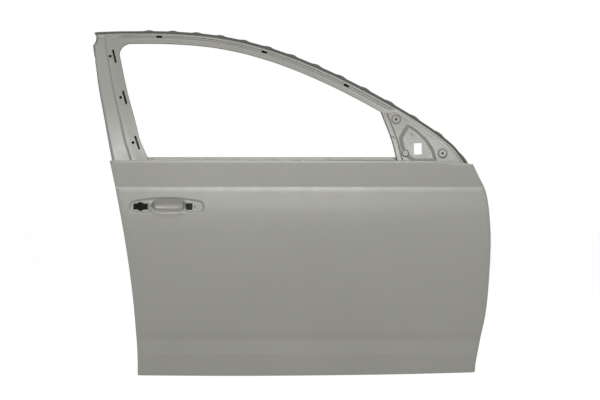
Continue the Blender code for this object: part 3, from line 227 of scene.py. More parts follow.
class DOORSHELL_PG_inside(bpy.types.PropertyGroup):
    """Forms of the inner panel, the mirror plate and the glass channels."""
    bead_height: FloatProperty(
        name="Bead height", description="Height of the stiffening beads in the inner panel", default=0.0035,
        min=0, max=0.005, unit="LENGTH")
    bead_width: FloatProperty(
        name="Bead width", description="Width of the stiffening beads", default=0.016, min=0.008, max=0.03,
        unit="LENGTH")
    boss_height: FloatProperty(
        name="Boss height", description="Height of the mirror bosses over the plate", default=0.0045,
        min=0.001, max=0.0045, unit="LENGTH")
    pocket_depth: FloatProperty(
        name="Pocket depth", description="Depth of the pocket in the mirror plate", default=0.0066, min=0.001,
        max=0.008, unit="LENGTH")
    step: FloatProperty(
        name="Mesh step", description="Spacing of the inner panel's faces", default=0.013, min=0.006,
        max=0.03, unit="LENGTH")
    beads: IntProperty(
        name="Upright beads", description="Stiffening beads below the carrier opening", default=5, min=0,
        max=9)


class DOORSHELL_PG_stage(bpy.types.PropertyGroup):
    """Floor, lamps and camera."""
    key_power: FloatProperty(
        name="Key", description="Power of the large lamp in front", default=234.0, min=0, max=2000,
        unit="POWER")
    key_rise: FloatProperty(
        name="Key angle", description="Height of the front lamp above the horizon, seen from the door",
        default=math.radians(20), min=0, max=math.radians(80), subtype="ANGLE")
    top_power: FloatProperty(
        name="Top", description="Power of the lamp overhead", default=2.0, min=0, max=2000, unit="POWER")
    upper_power: FloatProperty(
        name="Upper", description="Power of the lamp high in front", default=26.0, min=0, max=2000,
        unit="POWER")
    back_power: FloatProperty(
        name="Back", description="Power of the lamp behind the door", default=230.0, min=0, max=2000,
        unit="POWER")
    sky: FloatProperty(
        name="Sky", description="Strength of the even light from all round", default=0.22, min=0, max=2)
    camera_distance: FloatProperty(
        name="Camera distance", description="From the lens to the skin", default=6.0, min=1, max=20,
        unit="LENGTH")
    lens: FloatProperty(
        name="Lens", description="Focal length in millimetres", default=120.0, min=10, max=300)


def settings(name):
    return getattr(bpy.context.scene, "doorshell_" + name)


# Materials

# Noise scale and detail of the primer's slow clouds, its dry spray and its patches of sheen
CLOUDS = (3.2, 3.0)
SPRAY = (420.0, 2.0)
SHEEN = (26.0, 4.0)
SPRAY_SHARE = 0.45
SHEEN_SPREAD = 0.03


def wire(tree, node, values):
    """Set a node's inputs, each by its name or number, or link them where the value is an output."""
    for entry, value in values.items():
        if isinstance(value, bpy.types.NodeSocket):
            tree.links.new(value, node.inputs[entry])
        else:
            node.inputs[entry].default_value = value
    return node


def add_node(tree, kind, values, **options):
    """A new shader node with its options, and its inputs set or linked."""
    node = tree.nodes.new("ShaderNode" + kind)
    for option, value in options.items():
        setattr(node, option, value)
    return wire(tree, node, values)


def grain(tree, scale, detail, shift=0.0):
    """The value of a noise texture over the piece's own metres."""
    place = add_node(tree, "TexCoord", {})
    moved = add_node(tree, "Mapping", {"Vector": place.outputs["Object"],
                                       "Location": (shift, shift * 0.7, shift * 1.3)})
    noise = add_node(tree, "TexNoise", {"Vector": moved.outputs["Vector"], "Scale": scale, "Detail": detail})
    return noise.outputs["Fac"]


def between(tree, source, low, high):
    """Turn the middle of a noise's range into values from low to high."""
    span = add_node(tree, "MapRange", {"Value": source, "From Min": 0.3, "From Max": 0.7,
                                       "To Min": low, "To Max": high})
    return span.outputs["Result"]


def blank_material(name):
    material = bpy.data.materials.new(name)
    material.use_nodes = True
    return material, material.node_tree, material.node_tree.nodes["Principled BSDF"]


def toned(tree, colour, share, source):
    """A colour that gets lighter and darker by a share, as source goes from 0 to 1."""
    dark, light = ([min(tone * side, 1.0) for tone in colour] + [1.0] for side in (1 - share, 1 + share))
    # inputs 6 and 7 and output 2 are the node's colours
    return add_node(tree, "Mix", {0: source, 6: dark, 7: light}, data_type="RGBA").outputs[2]


def bumped(tree, source, depth, strength):
    """A fine relief of a depth."""
    bump = add_node(tree, "Bump", {"Distance": depth, "Strength": strength, "Height": source})
    return bump.outputs["Normal"]


def primer_material(name, colour, roughness, offset):
    """Satin primer: fine orange peel, slow clouds of tone, and dry spray along the way."""
    finish = settings("finish")
    material, tree, shader = blank_material(name)
    spray = grain(tree, *SPRAY, offset + 3.0)
    clouds = between(tree, grain(tree, *CLOUDS, offset), 0.0, 1 - SPRAY_SHARE)
    tone = add_node(tree, "Math", {0: spray, 1: SPRAY_SHARE, 2: clouds}, operation="MULTIPLY_ADD")
    sheen = grain(tree, *SHEEN, offset + 7.0)
    peel = grain(tree, 1 / finish.peel_size, 2.0, offset + 11.0)
    wire(tree, shader, {"Base Color": toned(tree, colour, finish.cloud_share, tone.outputs["Value"]),
                        "Roughness": between(tree, sheen, roughness - SHEEN_SPREAD, roughness + SHEEN_SPREAD),
                        "Normal": bumped(tree, peel, finish.peel_depth, 0.6)})
    shader.inputs["Specular IOR Level"].default_value = 0.5
    return material


def metal_material(name, colour, roughness):
    """Coated steel: mottled tone and roughness."""
    material, tree, shader = blank_material(name)
    patch = grain(tree, 160.0, 4.0)
    wire(tree, shader, {"Base Color": toned(tree, colour, 0.12, patch), "Metallic": 1.0,
                        "Roughness": between(tree, patch, roughness - 0.08, roughness + 0.08)})
    return material


def mastic_material(name, colour):
    """Foamed mastic: matt, with open pores."""
    material, tree, shader = blank_material(name)
    pores = grain(tree, 700.0, 3.0)
    wire(tree, shader, {"Base Color": toned(tree, colour, 0.35, pores), "Roughness": 0.9,
                        "Normal": bumped(tree, pores, 0.0004, 1.0)})
    return material


# Coats of primer: name, share of the full tone, and shift of the grain
# The last two coats are painted shade: darker primer put where the shell only lies in shade
PRIMER_AND_SHADE_COATS = {"outer": ("Skin primer", 1.0, 0.0), "frame": ("Frame primer", 1.0, 21.0),
                "inner": ("Inner primer", 0.97, 43.0), "plate": ("Plate primer", 0.97, 67.0),
                "edge": ("First coat", 0.40, 89.0), "painted_deep_shade": ("Unsprayed first coat", 0.2, 97.0)}


def primer(coat):
    """The primer, or a darker primer of painted shade, for one group of pieces, made on first use."""
    name, share, offset = PRIMER_AND_SHADE_COATS[coat]
    finish = settings("finish")
    if name in bpy.data.materials:
        return bpy.data.materials[name]
    colour = [tone * share for tone in finish.primer]
    return primer_material(name, colour, finish.primer_roughness + (1 - share) * 0.3, offset)


# Meshes

def linked(name, data):
    """A new object in the scene."""
    made = bpy.data.objects.new(name, data)
    bpy.context.scene.collection.objects.link(made)
    return made


def meshed(name, bm):
    """A new object from a bmesh, which it uses up."""
    mesh = bpy.data.meshes.new(name)
    bm.to_mesh(mesh)
    bm.free()
    return linked(name, mesh)


def closed_piece(bm, name, material, angle=32):
    """A piece from a mesh that is already closed, or gets its thickness later."""
    piece = meshed(name, bm)
    piece.data.materials.append(material)
    piece["sharp_angle"] = angle
    return piece


def clean_sheet(bm, name, material, thickness, angle=32):
    """A piece from an open sheet, which gets its thickness on the inboard side."""
    bmesh.ops.recalc_face_normals(bm, faces=bm.faces)
    bm.faces.ensure_lookup_table()
    if bm.faces[0].normal.y > 0:
        bmesh.ops.reverse_faces(bm, faces=bm.faces)
    piece = closed_piece(bm, name, material, angle)
    solid = piece.modifiers.new("Sheet", "SOLIDIFY")
    solid.thickness = thickness
    solid.offset = -1
    solid.use_even_offset = True
    solid.use_quality_normals = True
    return piece


def far_side_material(piece, material):
    """Give the far side of a sheet a material of its own; in each use here one of the two sides gets painted
    shade.
    """
    solid = piece.modifiers["Sheet"]
    solid.material_offset = solid.material_offset_rim = len(piece.data.materials)
    piece.data.materials.append(material)


def cut(piece, bm):
    """Cut a piece with the closed solids in a bmesh."""
    bmesh.ops.recalc_face_normals(bm, faces=bm.faces)
    cutter = meshed(piece.name + "_cutter", bm)
    tool = piece.modifiers.new("Cut-outs", "BOOLEAN")
    tool.operation = "DIFFERENCE"
    tool.solver = "EXACT"
    tool.object = cutter
    return cutter


def settle(piece, cuts=None):
    """Cut a piece with the solids of a bmesh, apply its modifiers and shade it."""
    cutter = cut(piece, cuts) if cuts is not None else None
    depsgraph = bpy.context.evaluated_depsgraph_get()
    made = bpy.data.meshes.new_from_object(piece.evaluated_get(depsgraph))
    piece.modifiers.clear()
    piece.data = made
    if cutter:
        bpy.data.objects.remove(cutter)
    made.shade_smooth()
    made.set_sharp_from_angle(angle=math.radians(piece["sharp_angle"]))
    return piece


def stand_for(piece, node, cuts=None):
    """Settle a piece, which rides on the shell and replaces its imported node."""
    settle(piece, cuts)
    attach(piece, "root")
    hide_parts(node)


def dress(node, material):
    """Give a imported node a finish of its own."""
    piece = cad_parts[node]
    piece.data.materials.clear()
    piece.data.materials.append(material)
    return piece


def extrude_chain(bm, chain, targets):
    """Extrude a chain of vertices to its target places, and return the new chain."""
    edges = [bm.edges.get((chain[k], chain[k + 1])) for k in range(len(chain) - 1)]
    made = bmesh.ops.extrude_edge_only(bm, edges=edges)["geom"]
    fresh = {}
    for item in made:
        if isinstance(item, bmesh.types.BMVert):
            fresh[tuple(round(value, 7) for value in item.co)] = item
    moved = [fresh[tuple(round(value, 7) for value in old.co)] for old in chain]
    for vert, place in zip(moved, targets):
        vert.co = place
    return moved


def half_turn(bm, chain, radius, place):
    """Fold a chain over by half a turn; place(k, out, rise) says where its vertex k goes."""
    for turn in range(1, 7):
        angle = math.pi * turn / 6
        out, rise = radius * math.sin(angle), radius * (1 - math.cos(angle))
        chain = extrude_chain(bm, chain, [place(k, out, rise) for k in range(len(chain))])
    return chain


def inside(point, outline):
    """True where a point lies inside a closed outline."""
    x, z = point
    within = False
    for k, (x0, z0) in enumerate(outline):
        x1, z1 = outline[k - 1]
        if (z0 > z) != (z1 > z) and x < x0 + (z - z0) * (x1 - x0) / (z1 - z0):
            within = not within
    return within


def line_distance(point, start, stop):
    """Distance from a point to the straight line between two others."""
    dx, dz = stop[0] - start[0], stop[1] - start[1]
    x, z = point[0] - start[0], point[1] - start[1]
    along = clamp((x * dx + z * dz) / (dx * dx + dz * dz))
    return math.hypot(x - along * dx, z - along * dz)


def edge_distance(point, outline):
    """Distance from a point to a closed outline, above zero inside it."""
    nearest = min(line_distance(point, outline[k], outline[k - 1]) for k in range(len(outline)))
    return nearest if inside(point, outline) else -nearest


def pressed_sheet(outline, height, step, rings=(), lines=(), holes=(), dense=()):
    """Triangulate a flat outline with its features as edges, lift it to its height, and return it.

    rings are closed features, lines open ones, holes are left out, and dense boxes get a mesh of their own
    step. The outline's vertices are returned in order, for flanges to be drawn from.
    """
    points, edges = [], []
    paths = [(loop, True) for loop in (outline, *rings, *holes)] + [(line, False) for line in lines]
    for path, closed in paths:
        first = len(points)
        points += path
        edges += [(first + k, first + k + 1) for k in range(len(path) - 1)]
        if closed:
            edges.append((first + len(path) - 1, first))
    tree = kdtree.KDTree(len(points))
    for k, (x, z) in enumerate(points):
        tree.insert((x, 0, z), k)
    tree.balance()
    xs, zs = [point[0] for point in outline], [point[1] for point in outline]
    whole = (min(xs), max(xs), min(zs), max(zs))
    for box, pitch in ((whole, step), *dense):
        left, right, low, high = box
        for row, z in enumerate(spaced(low, high, pitch * 0.87)):
            shift = pitch / 2 * (row % 2)
            for x in spaced(left + shift, right - pitch / 2 + shift, pitch):
                if box is whole and any(b[0] < x < b[1] and b[2] < z < b[3] for b, _ in dense):
                    continue
                if tree.find((x, 0, z))[2] < pitch * 0.55 or not inside((x, z), outline):
                    continue
                if not any(inside((x, z), hole) for hole in holes):
                    points.append((x, z))
    flat, _, faces, sources = delaunay_2d_cdt([Vector(point) for point in points], edges, [], 0, TINY)[:4]
    bm = bmesh.new()
    verts = [bm.verts.new((point.x, height(point.x, point.y), point.y)) for point in flat]
    for face in faces:
        middle = (sum(flat[k].x for k in face) / len(face), sum(flat[k].y for k in face) / len(face))
        if inside(middle, outline) and not any(inside(middle, hole) for hole in holes):
            bm.faces.new([verts[k] for k in face])
    chain = [None] * len(outline)
    for made, origins in enumerate(sources):
        for origin in origins:
            if origin < len(outline):
                chain[origin] = verts[made]
    bmesh.ops.delete(bm, geom=[vert for vert in bm.verts if not vert.link_faces], context="VERTS")
    return bm, chain


def swept_sheet(columns, rows, place):
    """A grid whose vertex in column i and row j stands at place(i, j)."""
    bm = bmesh.new()
    bmesh.ops.create_grid(bm, x_segments=columns, y_segments=rows, size=1)
    for vert in bm.verts:
        vert.co = place(round((vert.co.x + 1) / 2 * columns), round((vert.co.y + 1) / 2 * rows))
    return bm


def prism(bm, outline, low, high):
    """Add a closed prism: an outline in the XZ plane drawn along Y from low to high."""
    face = bm.faces.new([bm.verts.new((x, low, z)) for x, z in outline])
    drawn = bmesh.ops.extrude_face_region(bm, geom=[face])["geom"]
    top = [item for item in drawn if isinstance(item, bmesh.types.BMVert)]
    bmesh.ops.translate(bm, verts=top, vec=(0, high - low, 0))


def ring(centre, radius, points):
    return [(centre[0] + radius * math.cos(2 * math.pi * k / points),
             centre[1] + radius * math.sin(2 * math.pi * k / points)) for k in range(points)]


def arc(centre, radius, start, sweep, parts):
    """Points round a centre from a start through a sweep, both in degrees."""
    angles = [math.radians(start + sweep * k / parts) for k in range(parts + 1)]
    return [(centre[0] + radius * math.cos(angle), centre[1] + radius * math.sin(angle)) for angle in angles]


def rounded_box(box, corners, parts=6, step=None):
    """Counter-clockwise rounded rectangle (left, right, low, high), its straight sides cut into steps.

    Its corners' radii go from lower right by upper right to lower left.
    """
    left, right, low, high = box
    places = ((right, low, -1, 1), (right, high, -1, -1), (left, high, 1, -1), (left, low, 1, 1))
    outline = []
    for k, ((x, z, across, up), corner) in enumerate(zip(places, corners)):
        outline += arc((x + across * corner, z + up * corner), corner, 90 * (k - 1), 90, parts)
    return outline if step is None else filled_in(outline, step)


def filled_in(outline, step):
    """A closed outline with its long sides cut into steps."""
    filled = []
    for k, point in enumerate(outline):
        following = outline[(k + 1) % len(outline)]
        parts = max(1, math.ceil(math.dist(point, following) / step - TINY))
        filled += [point_between(point, following, j / parts) for j in range(parts)]
    return filled


def centred_box(centre, width, height, corner, parts):
    """Rounded rectangle round its centre."""
    x, z = centre
    box = (x - width / 2, x + width / 2, z - height / 2, z + height / 2)
    return rounded_box(box, [corner] * 4, parts)


def slot_outline(centre, length, width, angle):
    """Round-ended slot round its centre; angle is its lean from the X axis, in degrees."""
    turn = math.radians(angle)
    half = (length - width) / 2
    ends = arc((half, 0.0), width / 2, -90, 180, 8) + arc((-half, 0.0), width / 2, 90, 180, 8)
    return [(centre[0] + x * math.cos(turn) - z * math.sin(turn),
             centre[1] + x * math.sin(turn) + z * math.cos(turn)) for x, z in ends]


def grown(outline, distance, closed=True):
    """An outline moved out of a counter-clockwise loop by a distance, along the normals of its points."""
    moved = []
    last = len(outline) - 1
    for k, (x, z) in enumerate(outline):
        before = outline[k - 1] if closed or k > 0 else outline[k]
        after = outline[(k + 1) % len(outline)] if closed or k < last else outline[k]
        ends = []
        for start, stop in ((before, (x, z)), ((x, z), after)):
            length = math.dist(start, stop)
            if length > TINY:
                ends.append(((stop[1] - start[1]) / length, (start[0] - stop[0]) / length))
        nx = sum(end[0] for end in ends) / len(ends)
        nz = sum(end[1] for end in ends) / len(ends)
        size = nx * nx + nz * nz
        moved.append((x + nx * distance / size, z + nz * distance / size))
    return moved


def unit_normals(path):
    """Unit normals of an open path, on its outer side."""
    normals = []
    for (x, z), (far_x, far_z) in zip(path, grown(path, 1.0, closed=False)):
        size = math.hypot(far_x - x, far_z - z)
        normals.append(((far_x - x) / size, (far_z - z) / size))
    return normals


# Outer skin

def rear_edge(z):
    return smooth(SKIN_REAR_EDGE, z)


def front_edge(z):
    return smooth(SKIN_FRONT_EDGE, z)


def bottom_edge(x):
    return smooth(SKIN_BOTTOM_EDGE, x)


def belt_edge(x):
    return smooth(BELT_EDGE, x)


def crease_heights():
    return [band[-1][0] for band in SKIN_BANDS[:-1]]


def skin_out(z):
    """Distance of the skin outside the hinge line, its creases rounded by their reach."""
    skin = settings("skin")
    band = next((k for k, rows in enumerate(SKIN_BANDS) if z < rows[-1][0]), len(SKIN_BANDS) - 1)
    out = here = smooth(SKIN_BANDS[band], z)
    for k, crease in enumerate(crease_heights()):
        away = abs(z - crease)
        if k not in SHARP_CREASES and away < skin.crease_reach and k in (band, band - 1):
            other = smooth(SKIN_BANDS[k + 1 if band == k else k], z)
            out = lerp(here, other, 0.5 * (1 - away / skin.crease_reach) ** 2)
    below = crease_heights()[-1] - z
    if below > 0:
        lip = skin.crease_lip * ease(below / (skin.crease_reach * 1.5))
        out += lip * math.exp(-(below / 0.030) ** 2)
    return out


def skin_plain(x, z):
    """Outer surface of the skin without the handle recess."""
    return -skin_out(z) + SKIN_BOW * ((x - BOW_CENTRE) / BOW_REACH) ** 2


def behind_skin(x, z):
    """Where a sheet begins that lies against the back of the skin."""
    return skin_plain(x, z) + SHEET + FIT


# Handle recess: a lens with round ends, whose tips lie at a middle height that rises slightly to the front
PAD_ENDS = (-1.0545, -0.8262)
PAD_CENTRE = -0.9405
PAD_CROWN = 0.0660
PAD_DROP = 0.0135
PAD_FOOT = 0.0165
PAD_FOOT_RISE = 0.0040
PAD_ROUND = 0.10
PAD_TIP = (0.035, 0.001)
# Boxes (left, right, low, high) where the recess changes the skin and where the mesh is finer, with its step
RECESS_ZONE = (PAD_ENDS[0] - 0.02, PAD_ENDS[1] + 0.02, -0.02, PAD_CROWN + 0.01)
RECESS_MESH = ((PAD_ENDS[0] - 0.01, PAD_ENDS[1] + 0.01, -0.004, 0.072), 0.0022)
# Finger scoop: its depth from the lower edge to the upper one as (share of height, share of depth), and the
# powers that shape its outline, its ends and its fading depth
SCOOP_CENTRE = (-0.9345, 0.0400)
SCOOP_HALF = 0.0515
SCOOP_RISE = 0.0240
SCOOP_SQUARENESS = 3.4
SCOOP_TAPER = 0.4
SCOOP_FADE = 0.35
SCOOP_PROFILE = ((0.0, 0.0), (0.06, 0.015), (0.12, 0.035), (0.16, 0.06), (0.19, 0.13), (0.25, 0.60),
                 (0.30, 0.93), (0.33, 0.985), (0.40, 1.0), (0.50, 1.0), (0.55, 0.98), (0.61, 0.89),
                 (0.92, 0.12), (1.0, 0.0))
# Raised crescent below the scoop
BULGE_HALF = 0.0620
BULGE_DROP = 0.0140
LIP_HEIGHT = 0.0010
LIP_ROLL = 0.0075
LIP_SPREAD = 1.15
LIP_COVER = 1.3
# Lock hole: centre, and half length, half height and radius of its bulge; then the square and round holes
LOCK = (-1.0190, 0.0375)
LOCK_SIZE = (0.02175, 0.00925, 0.0135)
SQUARE = (-0.8730, 0.0375)
SQUARE_SIDE = 0.0200
PIN = (-0.8565, 0.0375)
PIN_RADIUS = 0.0024


def pad_outline(points=44):
    """Outline of the handle recess: a long lens with round ends."""
    half = (PAD_ENDS[1] - PAD_ENDS[0]) / 2
    lower, upper = [], []
    for k in range(points + 1):
        u = -math.cos(math.pi * k / points)
        x = PAD_CENTRE + half * u
        close = math.sqrt(1 - (1 - min(1.0, (1 - abs(u)) / PAD_ROUND)) ** 2)
        middle = PAD_TIP[0] + PAD_TIP[1] * u
        upper.append((x, lerp(middle, PAD_CROWN - PAD_DROP * u * u, close)))
        lower.append((x, lerp(middle, PAD_FOOT + PAD_FOOT_RISE * u * u, close)))
    return lower[:-1] + upper[:0:-1]


def scoop_share(x, z):
    """Depth of the finger scoop as a share of its full depth: a long upper wall, a floor, and the lip."""
    across = (x - SCOOP_CENTRE[0]) / SCOOP_HALF
    up = (z - SCOOP_CENTRE[1]) / SCOOP_RISE
    side = 1 - abs(across) ** SCOOP_SQUARENESS
    if side <= 0 or abs(up) >= side ** SCOOP_TAPER:
        return 0.0
    return smooth(SCOOP_PROFILE, clamp((up / side ** SCOOP_TAPER + 1) / 2)) * side ** SCOOP_FADE


def scoop_outline(share, points=60):
    """Closed contour round the finger scoop, drawn in to a share of its size."""
    outline = []
    for k in range(points):
        angle = 2 * math.pi * k / points
        across = math.copysign(abs(math.cos(angle)) ** 0.5, math.cos(angle)) * share
        reach = (1 - abs(across) ** SCOOP_SQUARENESS) ** SCOOP_TAPER * (1.0 if math.sin(angle) >= 0 else -1.0)
        outline.append((SCOOP_CENTRE[0] + SCOOP_HALF * across, SCOOP_CENTRE[1] + SCOOP_RISE * reach * share))
    return outline


def lip_share(x, z):
    """Raised crescent below the scoop, highest along the scoop's lower edge."""
    across = (x - SCOOP_CENTRE[0]) / BULGE_HALF
    if abs(across) >= 1:
        return 0.0
    crown = 1 - across * across
    side = max(0.0, 1 - abs(across * LIP_SPREAD) ** SCOOP_SQUARENESS)
    top = SCOOP_CENTRE[1] - SCOOP_RISE * math.sqrt(side)
    foot = PAD_FOOT - BULGE_DROP * crown
    if z < top:
        return crown ** 0.5 * ease((z - foot) / max(top - foot, TINY))
    return crown ** 0.5 * math.exp(-((z - top) / LIP_ROLL) ** 2) if z >= foot else 0.0


def skin_face(x, z, outline):
    """Outer surface of the skin with the handle recess."""
    y = skin_plain(x, z)
    left, right, low, high = RECESS_ZONE
    if not (left < x < right and low < z < high):
        return y
    skin = settings("skin")
    pad = skin.pad_depth * ease(edge_distance((x, z), outline) / skin.pad_wall)
    lip = lip_share(x, z)
    return y + pad * (1 - min(lip * LIP_COVER, 1.0)) - LIP_HEIGHT * lip + skin.scoop_depth * scoop_share(x, z)


def lock_outline():
    """Slot with a round bulge in its middle, for the lock cylinder."""
    half_length, half_height, radius = LOCK_SIZE
    reach = math.degrees(math.asin(half_height / radius))
    outline = []
    for side in (1, -1):
        x = LOCK[0] + side * half_length
        outline += [(x, LOCK[1] - side * half_height), (x, LOCK[1] + side * half_height)]
        outline += arc(LOCK, radius, 90 * (1 - side) + reach, 180 - 2 * reach, 8)
    return outline


def edge_marks(low, high, step):
    """Heights up one edge, with one at each crease between its ends."""
    marks = [low] + [z for z in crease_heights() if low + TINY < z < high - TINY] + [high]
    heights = [low]
    for start, stop in zip(marks, marks[1:]):
        heights += spaced(start, stop, step)[1:]
    return heights


def skin_edge(step):
    """The skin's outline from the belt down the rear edge, along the bottom and up the front edge."""
    rear_low, front_low = SKIN_BOTTOM_EDGE[0][1], SKIN_BOTTOM_EDGE[-1][1]
    rear = [(rear_edge(z), z) for z in reversed(edge_marks(rear_low, belt_edge(rear_edge(0.177)), step))]
    front = [(front_edge(z), z) for z in edge_marks(front_low, belt_edge(front_edge(0.165)), step)]
    along = [(x, bottom_edge(x)) for x in spaced(rear[-1][0], front[0][0], step)[1:-1]]
    return rear + along + front


class DOORSHELL_OT_outer_skin(bpy.types.Operator):
    """Press the outer skin, with its creases, handle recess and hemmed edges."""
    bl_idname = "doorshell.outer_skin"
    bl_label = "Outer skin"

    def execute(self, context):
        skin = settings("skin")
        fold = HEM_HEIGHT / 2
        edge = skin_edge(skin.step)
        body = grown(edge, -fold, closed=False)
        for end in (0, -1):
            body[end] = (body[end][0], belt_edge(body[end][0]) - fold)
        top = [(x, belt_edge(x) - fold) for x in spaced(edge[-1][0], edge[0][0], skin.step)[1:-1]]
        pad = pad_outline()
        rings = [pad] + [grown(pad, -skin.pad_wall * share) for share in (0.3, 0.6, 1.0)]
        rings += [scoop_outline(share) for share in (0.97, 0.85)]
        holes = [lock_outline(), centred_box(SQUARE, SQUARE_SIDE, SQUARE_SIDE, 0.0015, 2),
                 ring(PIN, PIN_RADIUS, 12)]
        bm, chain = pressed_sheet(body + top, lambda x, z: skin_face(x, z, pad), skin.step, rings,
                                  self.crease_lines(fold), holes, (RECESS_MESH,))
        self.hem(bm, chain[:len(body)], fold)
        self.belt_return(bm, chain[len(body):], fold)
        stand_for(clean_sheet(bm, "skin", primer("outer"), SHEET), "outer_panel")
        return {"FINISHED"}

    @staticmethod
    def crease_lines(fold):
        """Lines along each crease and, where it is rounded, along its rounding."""
        skin = settings("skin")
        lines = []
        for k, z in enumerate(crease_heights()):
            for shift in (0.0,) if k in SHARP_CREASES else (-1.0, -0.5, 0.0, 0.5, 1.0):
                level = z + shift * skin.crease_reach
                ends = (rear_edge(level) + 2 * fold, front_edge(level) - 2 * fold)
                lines.append([(x, level) for x in spaced(*ends, skin.step)])
        return lines

    @staticmethod
    def hem(bm, chain, fold):
        """Hem the edge over the inner panel's flange."""
        flat = [(vert.co.x, vert.co.z) for vert in chain]
        outward = unit_normals(flat)
        base = [skin_plain(x, z) for x, z in flat]

        def beside(k, out):
            return flat[k][0] + outward[k][0] * out, flat[k][1] + outward[k][1] * out

        def turned(k, out, rise):
            x, z = beside(k, out)
            return x, base[k] + rise, z

        chain = half_turn(bm, chain, fold, turned)
        ends = [beside(k, fold - HEM_RETURN) for k in range(len(flat))]
        extrude_chain(bm, chain, [(x, skin_plain(x, z) + HEM_HEIGHT, z) for x, z in ends])

    @staticmethod
    def belt_return(bm, chain, fold):
        """Turn the upper edge over, so that it hangs down behind the skin."""
        rim = [vert.co.copy() for vert in chain]
        chain = half_turn(bm, chain, fold, lambda k, out, rise: (rim[k].x, rim[k].y + rise, rim[k].z + out))
        extrude_chain(bm, chain, [(x, skin_plain(x, z - BELT_RETURN) + HEM_HEIGHT, z - BELT_RETURN)
                                  for x, _, z in rim])


# Window frame

HEADER_WIDTH = 0.040
SAIL_STRIP_WIDTH = 0.0205
SAIL_LAP = 0.0045
SAIL_GAP = 0.0008
NARROWING_START = 0.0330
NARROWING_LENGTH = 0.022
WINDOW_CORNER = 0.034
FRAME_FOOT = 0.118
FRAME_TUCK = 0.175
# Upper corner: path of its outer edge and its places along the roof, the turn of its window edge in degrees,
# where along it the section turns, and how the header's ridge runs in over the pillar's step
CORNER_PATH = ((-1.1783, 0.535), (-1.1755, 0.5375), (-1.1700, 0.548), (-1.1690, 0.560), (-1.1760, 0.5745))
CORNER_RUN = (0.014, 0.030, 0.048, 0.066, 0.084, 0.102)
CORNER_STEP = 0.0015
CORNER_SWEEP = 94
CORNER_TURN = (0.15, 0.6)
RIDGE_START = -1.1250
RIDGE_RUN = 0.035
RIDGE_BAND = (0.0135, 0.008)
UPRIGHT_LIMIT = 0.95
# Upper flange: its depth, where across the strip its bumps and it start and how soon they are full
FLANGE_DEPTH = 0.0092
BUMP_EDGE = (0.86, 0.12)
FLANGE_EDGE = (0.9, 0.1)
SCALLOP_PITCH = 0.0742
SCALLOP_FIRST = -1.007
SCALLOP_PLATEAU = 1.25
SCALLOP_SLOPE = 5.5
HEADER_FRONT = -0.033
# Walls of the inner pan, inside the skin's edges
LATCH_ZONE = (-0.060, 0.040)
REAR_INSET = 0.018
FRONT_INSET = 0.0105
BOTTOM_INSET = 0.022
WALL_TOP = 0.150

# Slots and holes: centre along the car and height, with the slot's lean from upright
PILLAR_SLOTS = ((-1.1101, 0.4985, 15.0), (-1.0740, 0.3693, 17.0), (-1.0333, 0.2309, 19.0))
PILLAR_SLOT_LENGTH = 0.044
HEADER_SLOTS = (-0.9737, -0.6442, -0.3899)
HEADER_SLOT_LENGTH = 0.018
HEADER_SLOT_INSET = 0.0190
PILLAR_HOLE_OFFSET = 0.0125
# How far the frame's cutters reach outside its face and inside it
CUT_OUT = 0.02
FRAME_CUT = 0.0150

# Sections of the outer strip as (share of width from the window, distance inboard of the frame's face)
HEADER_SECTION = ((0.0, 0.0), (0.33, -0.0004), (0.375, -0.0018), (0.42, -0.0018), (0.465, 0.0010),
                  (0.565, 0.0010), (0.63, -0.0038), (0.74, -0.0046), (0.79, -0.0026), (0.87, 0.0076),
                  (1.0, 0.0092))
CORNER_SECTION = ((0.0, 0.0), (0.44, 0.0), (0.68, -0.0046), (0.74, -0.0048), (0.79, -0.0026), (0.87, 0.0076),
                  (1.0, 0.0092))
PILLAR_SECTION = ((0.0, 0.0), (0.10, 0.0002), (0.22, 0.0006), (0.32, 0.0009), (0.40, 0.0009), (0.45, 0.0002),
                  (0.49, -0.0034), (0.60, -0.0041), (0.80, -0.0054), (0.955, -0.0066), (1.0, 0.0096))
SAIL_SECTION = ((0.0, 0.0), (0.12, 0.0), (0.24, -0.0001), (0.30, -0.0004), (0.36, -0.0008), (0.45, -0.0013),
                (0.55, -0.0016), (0.62, -0.0013), (0.68, -0.0002), (0.80, 0.0072), (1.0, 0.0092))
# Inner strip: beside the glass slot, out to the frame's depth, and back to the outer strip's flange
FLANGE = 0.0106 + FRAME_SHEET + FIT
INNER_HEADER_SECTION = ((0.0, GLASS_SLOT), (0.30, GLASS_SLOT), (0.42, FRAME_DEPTH),
                        (0.60, FRAME_DEPTH - 0.0015), (0.78, FRAME_DEPTH), (0.92, FLANGE), (1.0, FLANGE))
INNER_SAIL_SECTION = ((0.0, 0.0260), (0.12, 0.0260), (0.26, FRAME_DEPTH), (0.46, FRAME_DEPTH - 0.0010),
                      (0.66, FRAME_DEPTH), (0.86, FLANGE), (1.0, FLANGE))
INNER_PILLAR_SECTION = ((0.0, GLASS_SLOT), (0.14, GLASS_SLOT), (0.22, FRAME_DEPTH),
                        (0.53, FRAME_DEPTH - 0.0030), (0.84, FRAME_DEPTH), (0.94, FLANGE), (1.0, FLANGE))


def frame_face(z):
    """Outer face of the window frame: it leans inwards as it rises, as the glass does."""
    rise = z - SILL_HEIGHT
    return FRAME_OUT + FRAME_LEAN * rise + FRAME_CURVE * rise * rise


def frame_slope(z):
    return FRAME_LEAN + 2 * FRAME_CURVE * (z - SILL_HEIGHT)


def roof_line(x):
    return smooth(ROOF_LINE, x)


def roof_normal(x):
    """Upward unit normal of the header's upper edge."""
    slope = (roof_line(x + TINY * 100) - roof_line(x - TINY * 100)) / (TINY * 200)
    size = math.hypot(slope, 1)
    return -slope / size, 1 / size


def below_roof(x, inset):
    """The point at an inset below the header's upper edge."""
    across, up = roof_normal(x)
    return x - across * inset, roof_line(x) - up * inset


def roof_distance(x, z):
    """How far a point lies below the header's upper edge."""
    return (roof_line(x) - z) * roof_normal(x)[1]


